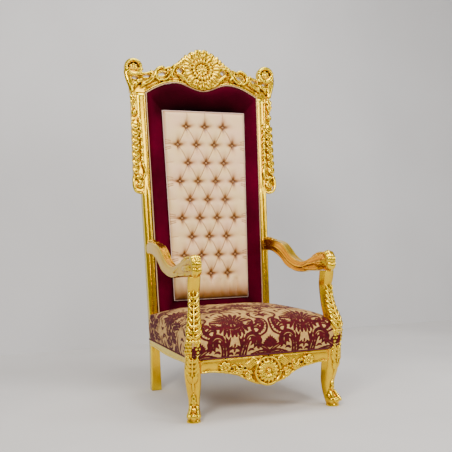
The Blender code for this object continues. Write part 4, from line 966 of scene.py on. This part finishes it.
def pileStrokes():
    # What the velvet figure is drawn with; every stroke is mirrored at its axis
    strokes = []
    for lobes, depth, shifted, *rows in (
            # Calyx, band and side volutes of the palmette
            (0, 0, False, (0, -6, 11, 20, -4, 11, 40, 6, 8), (0, -19, 5, 20, -17.5, 5, 40, -8, 4),
             (40, 4, 4, 62, -6, 8.5, 82, 2, 12, 88, 22, 12.5, 82, 40, 11, 70, 38, 8, 68, 26, 3.5)),
            # Curved straps with their bud, and the end of the great leaf
            (0, 0, True, (52, 48, 3, 32, 42, 4, 14, 28, 4.2, 7.5, 4, 3.8, 8.5, -20, 3.8, 20, -42, 4, 48, -57, 3),
             (42, -26, 6, 58, -14, 8, 73, -13, 8.8, 80, -24, 6.6, 71, -33, 2.8), (0, 56, 4, 0, 80, 8.5, 0, 104, 1.5),
             (6, -124, 5, 22, -113, 8, 40, -100, 8, 53, -98, 6, 57, -107, 4, 51, -112, 2.5)),
            (6, 0.16, True, (44, 38, 3, 31, 28, 5, 25.5, 6, 6.2, 30, -16, 7, 44, -34, 6, 60, -43, 3.5)),
            (3, 0.2, True, (28, 20, 5, 44, 22, 6.8, 58, 12, 2), (30, -4, 6, 46, 4, 7, 62, -1, 2)),
            (7, 0.18, True, (4, -137, 6, 40, -129, 8.5, 86, -137, 2)),
            # Neck that climbs towards the next row, with its leaves
            (5, 0.2, True, (50, 47, 3, 60, 70, 6, 56, 100, 7.5, 38, 122, 2)),
            (2, 0.12, True, (6, 66, 4, 20, 74, 6.4, 34, 66, 2), (6, 84, 4, 22, 96, 6, 34, 90, 2),
             (3, 112, 4, 16, 128, 7.6, 34, 140, 7, 50, 134, 2), (0, 116, 4, 0, 140, 6.4, 0, 158, 1.5),
             (10, 158, 3, 26, 160, 6.2, 42, 172, 2)),
            # Great curling leaf under the palmette
            (6, 0.07, False, (50, -76, 5, 57, -56, 9, 78, -47, 11.8, 101, -55, 12.5, 117, -74, 8)),
            # Fringe of the palmette, fingers of the great leaf, stems and small sprays
            (3, 0.1, False, (7.8, -28, 5.4, 8.3, -39, 6.1, 8.8, -50, 3.8),
             (23.5, -26, 5.4, 25, -37, 6.1, 26.5, -48, 3.8),
             (38.5, -20, 5.4, 41.75, -30.5, 6.1, 45, -41, 3.8), (51, -10, 5.4, 56.75, -19, 6.1, 62.5, -28, 3.8),
             (111, -68, 8, 117, -84, 7, 110, -100, 2), (96, -64, 10, 98, -86, 9.5, 89, -107, 2),
             (82, -64, 7, 83, -80, 6, 74, -93, 2), (72, -72, 2.8, 63, -82, 3.6, 56, -106, 3.6, 53, -138, 4),
             (60, -68, 4, 47, -84, 6.4, 39, -108, 8.8, 34, -138, 9.5), (38, -98, 7, 34, -72, 5.6, 41, -48, 1.2),
             (33, -96, 6, 26, -74, 4.8, 19, -54, 1.2), (30, -116, 6, 20, -100, 4.4, 12, -90, 1.2),
             (26, -130, 5, 14, -124, 5, 6, -132, 2), (66, -120, 3, 76, -112, 5, 90, -118, 1.5),
             (0, -84, 2.6, 0, -90, 3.4, 0, -96, 2), (4, -104, 2.8, 10, -100, 3, 15, -106, 1.4),
             (0, -108, 3, 0, -113, 3.4, 0, -118, 2), (0, 142, 4, 0, 158, 6, 0, 174, 1.6),
             (8, 152, 3.6, 26, 158, 6.2, 44, 146, 5.6, 58, 128, 1.8), (72, 100, 3, 78, 122, 5.8, 70, 142, 1.8))):
        strokes += [woven(mm(*row), lobes, depth, shifted) for row in rows]
    for aim, length in palmette:
        strokes.append(woven(feather(aim, aim, length, (0.05, 0.006), (0.4, 0.0115),
                                     (0.75, 0.0085), (1.0, 0.0015)), 5, 0.1))
    # Dots in the light stripe of the strap, and the diamond leaf between the straps
    for k in range(6):
        spot = through(*mm(15.5, 10, 1.5, 15.5, -12, 1.5, 26, -32, 1.5, 47, -47, 1.5))(0.08 + 0.17 * k)
        strokes.append(woven([spot, spot], 0, 0, True))
    for k, (u, v) in enumerate(mm(0, -56, 10, -63, 19, -71, 26, -79, 32, -87, 33, -97, per=2)):
        strokes.append(woven([(0.0, 0.003 * (5 - k) - 0.106, 0.006), (u * 0.55, (v - 0.094) / 2, 0.0062),
                              (u, v, 0.0014)],
                             0, 0, True))
    return strokes


def veinStrokes():
    # Fine ground-coloured lines inside the figure
    strokes = []
    for shifted, *rows in (
            (False, (52, 0, 0.6, 68, -1, 1, 80, 8, 1, 81, 24, 0.5),
             (0, -20, 0.7, 14, -19, 0.7, 28, -13, 0.7, 38, -5, 0.5),
             (56, -66, 1, 66, -55, 1.4, 84, -52, 1.4, 100, -62, 0.8), (98, -70, 1.2, 99, -82, 1.2, 94, -96, 0.5),
             (42, -92, 0.8, 37, -112, 1.4, 33, -136, 1.4)),
            (True, (48, -21, 0.6, 61, -13, 1.2, 73, -16, 0.6), (34, -1, 0.6, 44, 1, 1.1, 54, 1, 0.5),
             (56, 62, 0.8, 58, 82, 1.3, 52, 102, 0.6), (12, -119, 0.8, 26, -109, 1.4, 42, -101, 0.8),
             (10, -136, 0.8, 36, -130, 1.2, 66, -134, 0.6))):
        strokes += [woven(mm(*row), shifted=shifted) for row in rows]
    for aim, length in palmette:
        for near, far, width in ((0.22, 0.44, 0.0008), (0.52, 1.05, 0.0017)):
            strokes.append(woven(feather(aim, aim - 6.5, length, (near, width * 0.7), ((near + far) / 2, width),
                                         (far, width * 1.3))))
    for k in range(5):
        strokes.append(woven([(0.0075 * k, 0.001 * k - 0.0245, 0.0006), (0.0078 * k, 0.001 * k - 0.0225, 0.0006)]))
    strokes.append(woven([(0.0095 * math.sin(t), 0.008 * math.cos(t) - 0.001, 0.0016)
                          for t in (0.6, 1.1, 1.7, 2.4, 3.14)]))
    return strokes


# Heading and length of the palmette's feathers
palmette = ((90, 0.128), (77, 0.124), (64, 0.114), (51, 0.104), (38, 0.096), (25, 0.092))


def feather(aim, turn, length, *stations):
    c, s = math.cos(math.radians(turn)), math.sin(math.radians(turn))
    droop = 0.01 * (90 - aim) / 65
    return [(c * length * t, 0.002 + s * length * t - droop * t * t, size) for t, size in stations]


def figureLattice(strokes):
    # Distance to the nearest stroke over one mirrored half repeat, on a fine lattice
    cell, far, wide, tall = (weave[key] for key in ("cell", "far", "wide", "tall"))
    columns = math.ceil(wide / 2 / cell) + 2
    rows = round(tall / cell)
    field = np.full((columns, rows), far)
    for su, sv, radius in [sample for stroke in strokes for sample in stroke]:
        for u, v in ((su, sv), (-su, sv), (wide - su, sv), (wide / 2 - su, sv + tall / 2),
                     (su - wide / 2, sv + tall / 2), (wide / 2 + su, sv + tall / 2)):
            reach = radius + far
            low = max(0, math.ceil((u - reach) / cell))
            high = min(columns - 1, math.floor((u + reach) / cell))
            if low > high:
                continue
            i = np.arange(low, high + 1)
            j = np.arange(math.ceil((v - reach) / cell), math.floor((v + reach) / cell) + 1)
            near = np.hypot(i[:, None] * cell - u, j[None, :] * cell - v) - radius
            spot = np.ix_(i, j % rows)
            field[spot] = np.minimum(field[spot], near)
    return field


def damaskFigure(u, v):
    # Distance to the woven figure in metres, below zero inside it
    field = np.maximum(figureLattice(pileStrokes()) - weave["grow"], weave["thin"] - figureLattice(veinStrokes()))
    wide, cell = weave["wide"], weave["cell"]
    u = np.abs((u - weave["axis"]) % wide - wide / 2) / cell
    v = ((v - weave["eye"]) % weave["tall"]) / cell
    i, j = np.floor(u).astype(int), np.floor(v).astype(int)
    fu, fv = u - i, v - j
    rows = field.shape[1]
    j, jNext = j % rows, (j + 1) % rows
    return ((field[i, j] * (1 - fu) + field[i + 1, j] * fu) * (1 - fv)
            + (field[i, jNext] * (1 - fu) + field[i + 1, jNext] * fu) * fv)


def seatSpot(s, t):
    # s, t in -1..1 on the top; beyond 1 they run down the sides
    bottom = build["railTop"] + 0.0003
    a, b = max(-1.0, min(1.0, s)), max(-1.0, min(1.0, t))
    down = 1 - max(0.0, abs(s) - 1, abs(t) - 1)
    if down < 1:
        share = seat["edge"] * down
        swellX, swellY = math.sin(math.pi * (0.1 + 0.8 * down)), math.sin(math.pi * (0.12 + 0.7 * down))
    else:
        rounding = (1 - abs(a) ** 3.2) * (1 - abs(b) ** 3.2)
        share = seat["edge"] + (1 - seat["edge"]) * rounding ** 0.62
        swellX, swellY = 0.6, math.sin(math.pi * 0.82)
    z = bottom + (seat["crown"] - bottom) * share
    x = a * (seat["half"] + seat["sideBulge"] * swellX - 0.004)
    backEdge = backY(z) - 0.0246
    frontEdge = build["seatFront"] - seat["frontBulge"] * swellY + 0.003
    return Vector((x, (frontEdge + backEdge) / 2 + b * (backEdge - frontEdge) / 2, z))


def makeSeat():
    bm = bmesh.new()
    layer = bm.verts.layers.float.new("figure")
    steps, down = ((190, 46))
    first = [-1 - (down - k) / down for k in range(down)] + [-1 + 2 * k / steps for k in range(steps)]
    sShares, tShares = (first + [1 + k / last for k in range(last + 1)] for last in (down, 6))
    spots = np.array([[tuple(seatSpot(s, t)) for t in tShares] for s in sShares])
    # Cloth is measured along its own surface from the middle lines
    middle = down + steps // 2
    along = []
    for axis in (0, 1):
        lengths = np.cumsum(np.linalg.norm(np.diff(spots, axis=axis), axis=2), axis=axis)
        along.append(np.concatenate([np.zeros_like(lengths.take([0], axis)), lengths], axis=axis))
    along[0] -= along[0][middle:middle + 1]
    along[1] += spots[:, middle, 1][:, None] - along[1][:, middle][:, None]
    figure = damaskFigure(*along)
    grid = {}
    for i, s in enumerate(sShares):
        for j, t in enumerate(tShares):
            if abs(s) <= 1 or abs(t) <= 1:
                grid[i, j] = bm.verts.new(spots[i, j])
                grid[i, j][layer] = figure[i, j]
    for i in range(len(sShares) - 1):
        for j in range(len(tShares) - 1):
            corners = [(i, j), (i + 1, j), (i + 1, j + 1), (i, j + 1)]
            if all(corner in grid for corner in corners):
                bm.faces.new([grid[corner] for corner in corners])
    bmesh.ops.remove_doubles(bm, verts=bm.verts, dist=2e-4)
    shut(bm)
    addCloth("seatUpholstery", bm, damask, "damask", "seat_cushion")


makeSeat()

# ---- tufted back panel
tuft = dict(rows=9, columnStep=0.104, rowStep=0.0985, topRow=1.376, rise=0.032, seam=0.008, depth=0.026)


def panelHalf(z):
    share = (z - panelSize["bottom"]) / (panelSize["top"] - panelSize["bottom"])
    return panelSize["bottomX"] + (panelSize["topX"] - panelSize["bottomX"]) * share


def buttonSpots():
    spots = []
    for row in range(tuft["rows"]):
        z = tuft["topRow"] - tuft["rowStep"] * row
        squeeze = panelHalf(z) / panelHalf(tuft["topRow"])
        for column in ((-2, 0, 2) if row % 2 == 0 else (-3, -1, 1, 3)):
            spots.append((column * tuft["columnStep"] / 2 * squeeze, z, column, row))
    return spots


def pleatLines(spots):
    # Each pleat from point to point, with its depth
    lines = []
    lastRow = tuft["rows"] - 1
    for x, z, column, row in spots:
        side = math.copysign(panelHalf(z), x)
        for otherX, otherZ, otherColumn, otherRow in spots:
            if otherRow == row + 1 and abs(otherColumn - column) == 1:
                lines.append((x, z, otherX, otherZ, 0.005))
        if row == 0:
            lines.append((x, z, x * 0.96, panelSize["top"], 0.0035))
        if row == lastRow:
            lines.append((x, z, x, panelSize["bottom"], 0.0075))
        if abs(column) == 3:
            lines.append((x, z, side, z + 0.002, 0.006))
            for shift in (-0.03, -0.018, 0.012, 0.024):
                lines.append((side - math.copysign(0.03, x), z + shift * 0.7, side, z + shift, 0.004))
        if abs(column) == 2 and row not in (0, lastRow):
            lines.append((side - math.copysign(0.035, x), z + 0.002, side, z, 0.0022))
    for x in (-0.156, -0.052, 0.052, 0.156):
        lines.append((x * 0.9, tuft["topRow"] - tuft["rowStep"] * lastRow - 0.036,
                      x * 0.9, panelSize["bottom"], 0.0075))
    return lines


def panelField(x, z):
    # Height of the satin over its ground, and how much painted shade each point takes
    above, below = z - panelSize["bottom"], panelSize["top"] - z
    inward = np.minimum(np.minimum(panelHalf(z) - np.abs(x), above), below)
    edge = np.clip(inward / 0.03, 0.0, 1.0)
    height = tuft["seam"] + (tuft["rise"] - tuft["seam"]) * np.sqrt(1 - (1 - edge) ** 2)
    gather = np.clip((0.115 - above) / 0.115, 0, 1)
    height += 0.0035 * np.cos(math.tau * x / 0.052) * np.sin(math.pi * gather)
    shadeMask, dimple, crease = np.zeros((3, len(x)))
    spots = buttonSpots()
    for bx, bz, _, _ in spots:
        r = np.hypot(x - bx, z - bz)
        points = np.abs(np.cos(2 * np.arctan2(z - bz, x - bx))) ** 3
        dimple = np.maximum(dimple, np.exp(-(r / (0.019 + 0.007 * points)) ** 1.3))
        # Painted shade in a star round each button
        shadeMask = np.maximum(shadeMask, 0.86 * np.exp(-(r / (0.0145 + 0.015 * points)) ** 1.5))
    for ax, az, bx, bz, deep in pleatLines(spots):
        dx, dz = bx - ax, bz - az
        t = np.clip(((x - ax) * dx + (z - az) * dz) / math.hypot(dx, dz) ** 2, 0.0, 1.0)
        off = np.hypot(x - ax - dx * t, z - az - dz * t)
        crease = np.maximum(crease, deep * np.exp(-(off / 0.015) ** 1.2) + 0.25 * deep * np.exp(-(off / 0.0022) ** 2))
        # Painted dark line along each pleat, fainter for those that run to the bottom
        line = 0.16 if bz == panelSize["bottom"] else 0.46 * min(1.0, deep / 0.004)
        shadeMask = np.maximum(shadeMask, line * np.exp(-(off / 0.0024) ** 2))
    # Painted shadow under the top seam, and painted shade that deepens towards the bottom
    shadeMask = np.maximum(shadeMask, 0.42 * np.exp(-(below / 0.013) ** 2))
    shadeMask = np.maximum(shadeMask, np.clip((0.105 - above) / 0.105, 0, 1) ** 1.1 * 0.66)
    sunk = np.minimum(tuft["depth"] * dimple + crease * (1 - 0.7 * dimple), tuft["depth"])
    return height - sunk * np.clip(edge * 1.5, 0, 1), shadeMask


def makePanel():
    bm = bmesh.new()
    layer = bm.verts.layers.float.new("shadeMask")
    grid = gridOn(bm, *(((156, 360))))
    across, up = np.array(list(grid.values())).T
    z = panelSize["bottom"] + (panelSize["top"] - panelSize["bottom"]) * up
    x = (across * 2 - 1) * panelHalf(z)
    for vert, vx, vz, height, shadeMask in zip(grid, x, z, *panelField(x, z)):
        vert.co = onBack(vx, vz, height)
        # The painted shade goes to the satin as a point attribute
        vert[layer] = shadeMask
    pushed = bmesh.ops.extrude_edge_only(bm, edges=[edge for edge in bm.edges if edge.is_boundary])
    for item in pushed["geom"]:
        if isinstance(item, bmesh.types.BMVert):
            item.co = onBack(item.co.x, item.co.z, -0.03)
    shut(bm)
    addCloth("tuftedPanel", bm, satin, "champagne_satin", "back_panel")


makePanel()


def makeButtons():
    bm = bmesh.new()
    layer = bm.verts.layers.float.new("shadeMask")
    base = tuft["rise"] - tuft["depth"] + 0.0035
    for x, z, _, _ in buttonSpots():
        made = bmesh.ops.create_uvsphere(bm, u_segments=20, v_segments=12, radius=0.0068)
        for vert in made["verts"]:
            vert.co = onBack(x + vert.co.x, z + vert.co.y, base + vert.co.z * 0.55)
            # Painted shade: the buttons take the brown of the dimples they sit deep in
            vert[layer] = 0.4
    bmesh.ops.recalc_face_normals(bm, faces=bm.faces)
    addPiece("tuftButtons", bm, satin, "champagne_satin", *[f"button_{k:02d}" for k in range(1, 32)])


makeButtons()

# ---- velvet border round the panel; both outlines start at the lower left and have as many points on every side
border = dict(rise=0.026, land=0.002, peak=0.22, side=90, rings=18)


def backOutline(inset):
    # The opening between the posts and the crest
    corner = postInnerX(arch["corner"]) - inset
    stretch = postInnerX(arch["corner"]) / corner
    lowZ = build["rakeFrom"] + inset
    footX = build["postInner"] - inset
    topZ = archZ(corner * stretch) - inset
    shares = [k / border["side"] for k in range(border["side"])]
    points = [(footX * (2 * t - 1), lowZ) for t in shares]
    points += [(footX + (corner - footX) * t, lowZ + (topZ - lowZ) * t) for t in shares]
    points += [(corner * (1 - 2 * t), archZ(corner * (1 - 2 * t) * stretch) - inset) for t in shares]
    points += [((corner - footX) * t - corner, topZ + (lowZ - topZ) * t) for t in shares]
    return points


def panelOutline(grow):
    low, high = panelSize["bottom"] - grow, panelSize["top"] + grow
    lowX, highX = panelSize["bottomX"] + grow, panelSize["topX"] + grow
    corners = [(-lowX, low), (lowX, low), (highX, high), (-highX, high)]
    return [(ax + (bx - ax) * k / border["side"], az + (bz - az) * k / border["side"])
            for (ax, az), (bx, bz) in zip(corners, corners[1:] + corners[:1]) for k in range(border["side"])]


def makeBorder():
    bm = bmesh.new()
    layer = bm.verts.layers.float.new("shadeMask")
    outer, inner = backOutline(0.0062), panelOutline(0.0004)
    side, rings, peak, rise = (border[key] for key in ("side", "rings", "peak", "rise"))

    def spot(u, w):
        k = round(u * 4 * side) % (4 * side)
        if w <= 1e-6:
            return onBack(*outer[k], -0.034)
        if w >= 1.0 - 1e-6:
            return onBack(*inner[k], -0.034)
        t = (w * rings - 1) / (rings - 2)
        (ax, az), (bx, bz) = outer[k], inner[k]
        if t < peak:
            forward = rise * math.sqrt(max(0.0, 1 - (1 - t / peak) ** 2))
        else:
            forward = rise + (border["land"] - rise) * ((t - peak) / (1 - peak)) ** 1.3
        # The cover pulls in at the mitred corners
        near = min(k % side, side - k % side) / side
        forward -= 0.0045 * math.exp(-(near / 0.012) ** 2) * math.sin(math.pi * t)
        return onBack(ax + (bx - ax) * t, az + (bz - az) * t, forward)

    for vert, (u, w) in gridOn(bm, 4 * side, rings).items():
        vert.co = spot(u, w)
        # Painted shade: darkest on the top border and towards the panel, with more at the mitred corners
        near = abs((u * 4 + 0.5) % 1 - 0.5)
        top = max(0.0, 1 - (abs(u - 0.625) / 0.125) ** 8)
        vert[layer] = min(1.0, 0.22 * w + top * (0.3 + 0.6 * w) + 0.5 * w * math.exp(-(near / 0.06) ** 2))
    bmesh.ops.remove_doubles(bm, verts=bm.verts, dist=1e-5)
    bmesh.ops.bridge_loops(bm, edges=[edge for edge in bm.edges if edge.is_boundary])
    addCloth("velvetBorder", bm, velvet, "burgundy_velvet", "back_border")


makeBorder()


# ---- piping
def makeCord(name, points, radius, finish, slotName, node, looped=True):
    bm = bmesh.new()
    count = len(points)
    lengths = count if looped else count - 1
    frames = []
    for k, here in enumerate(points):
        before = points[k - 1] if looped or k else here
        after = points[(k + 1) % count] if looped or k < count - 1 else here
        along = (after - before).normalized()
        side = along.cross(Vector((0.0, 1.0, 0.06))).normalized()
        frames.append((here, side, side.cross(along)))

    def spot(u, w):
        here, side, up = frames[round(w * lengths) % count]
        turn = math.tau * u
        return here + side * (radius * math.cos(turn)) + up * (radius * math.sin(turn))

    closed(bm, spot, 12, lengths, 1e-6)
    bmesh.ops.recalc_face_normals(bm, faces=bm.faces)
    addPiece(name, bm, finish, slotName, node)


for word, points, forward, radius, finish in (("panel", panelOutline(-0.0006), 0.011, 0.0033, whiteCord),
                                              ("frame", backOutline(0.0036), 0.0062, 0.0032, dimCord)):
    makeCord(word + "Piping", [onBack(x, z, forward) for x, z in points],
             radius, finish, "satin_piping", word + "_piping")
frontY = build["seatFront"] - seat["frontBulge"] * math.sin(math.pi * 0.12)
seatLines = [("front", [Vector((0.2947 * (1 - 2 * k / 60), frontY, 0.2668)) for k in range(61)])]
for _, side, word in bothSides:
    seatLines.append((word, [Vector((side * 0.3455, 0.6308 * k / 60 - 0.3214, 0.2663)) for k in range(61)]))
for word, points in seatLines:
    name = "seatPipingFront" if word == "front" else "seatPiping_" + word
    makeCord(name, points, 0.004, darkCord, "dark_piping", "seat_piping_" + word, False)
print("upholstery ready")

# ---- studio: floor, wall, light and camera
studio = dict(wallY=1.9, half=6.0)


def makeStage():
    for name, light, dark in (("studioFloor", "#E4E1DF", "#DAD7D5"), ("studioWall", "#E2E1E2", "#DAD9DA")):
        bm = bmesh.new()
        bmesh.ops.create_grid(bm, x_segments=2, y_segments=2, size=studio["half"])
        if name == "studioWall":
            for vert in bm.verts:
                vert.co = Vector((vert.co.x, studio["wallY"], vert.co.y + studio["half"] - 0.5))
        mesh = bpy.data.meshes.new(name)
        bm.to_mesh(mesh)
        bm.free()
        mesh.materials.append(studioPlaster(name + "Plaster", light, dark))
        piece = bpy.data.objects.new(name, mesh)
        bpy.context.scene.collection.objects.link(piece)


def addLight(name, place, aim, size, power, tone="#FFFFFF"):
    lamp = bpy.data.lights.new(name, "AREA")
    lamp.shape = "RECTANGLE"
    lamp.size, lamp.size_y = size
    lamp.energy = power
    lamp.color = colour(tone)[:3]
    item = bpy.data.objects.new(name, lamp)
    item.location = place
    item.rotation_euler = (Vector(aim) - Vector(place)).to_track_quat("-Z", "Y").to_euler()
    bpy.context.scene.collection.objects.link(item)


def makeLight():
    # Air that is bright above and in front and darker towards the floor, for the gold to mirror
    world = bpy.data.worlds.new("studioAir")
    bpy.context.scene.world = world
    world.use_nodes = True
    tree = world.node_tree
    parts = addNode(tree, "SeparateXYZ", {"Vector": addNode(tree, "TexCoord").outputs["Generated"]})
    ramp = addNode(tree, "ValToRGB", {"Fac": parts.outputs["Z"]},
                   [(0.0, "#948E88"), (0.25, "#B9B4AE"), (0.6, "#F2F0EC"), (1.0, "#FFFFFF")])
    # The camera itself sees an even pale grey
    ray = addNode(tree, "LightPath")
    seen = addNode(tree, "Mix", {0: ray.outputs["Is Camera Ray"], 6: ramp, 7: colour("#F6F3F0")}, data_type="RGBA")
    setInputs(tree, tree.nodes["Background"], {"Color": seen.outputs[2], "Strength": 0.56})
    addLight("keyLight", (-2.4, -3.2, 3.0), (0, 0, 0.9), (1.2, 1.2), 138, "#FFF9F0")
    addLight("windowLight", (0.9, -4.3, 2.3), (0, 0, 1.0), (1.5, 1.3), 48)
    addLight("fillLight", (2.8, -2.4, 1.9), (0, 0, 0.8), (0.9, 2.0), 40)
    addLight("topLight", (0.3, -0.5, 3.6), (0, 0.1, 0.6), (1.6, 1.2), 60)


def makeCamera():
    # Place, turn and lens solved from the photo
    turn, pitch, roll = math.radians(-20.72), math.radians(-0.94), math.radians(-1.44)
    place = Vector((-1.239, -3.203, 0.777))
    forward = Vector((-math.sin(turn) * math.cos(pitch), math.cos(turn) * math.cos(pitch), -math.sin(pitch)))
    right = Vector((math.cos(turn), math.sin(turn), 0.0))
    up = right.cross(forward)
    tiltedRight = right * math.cos(roll) + up * math.sin(roll)
    tiltedUp = up * math.cos(roll) - right * math.sin(roll)
    camera = bpy.data.cameras.new("studioCamera")
    camera.sensor_width = 36.0
    camera.lens = 700.1 / 452 * 36
    item = bpy.data.objects.new("studioCamera", camera)
    axes = Matrix((tiltedRight, tiltedUp, -forward)).transposed().to_4x4()
    item.matrix_world = Matrix.Translation(place) @ axes
    bpy.context.scene.collection.objects.link(item)
    bpy.context.scene.camera = item


makeStage()
makeLight()
makeCamera()
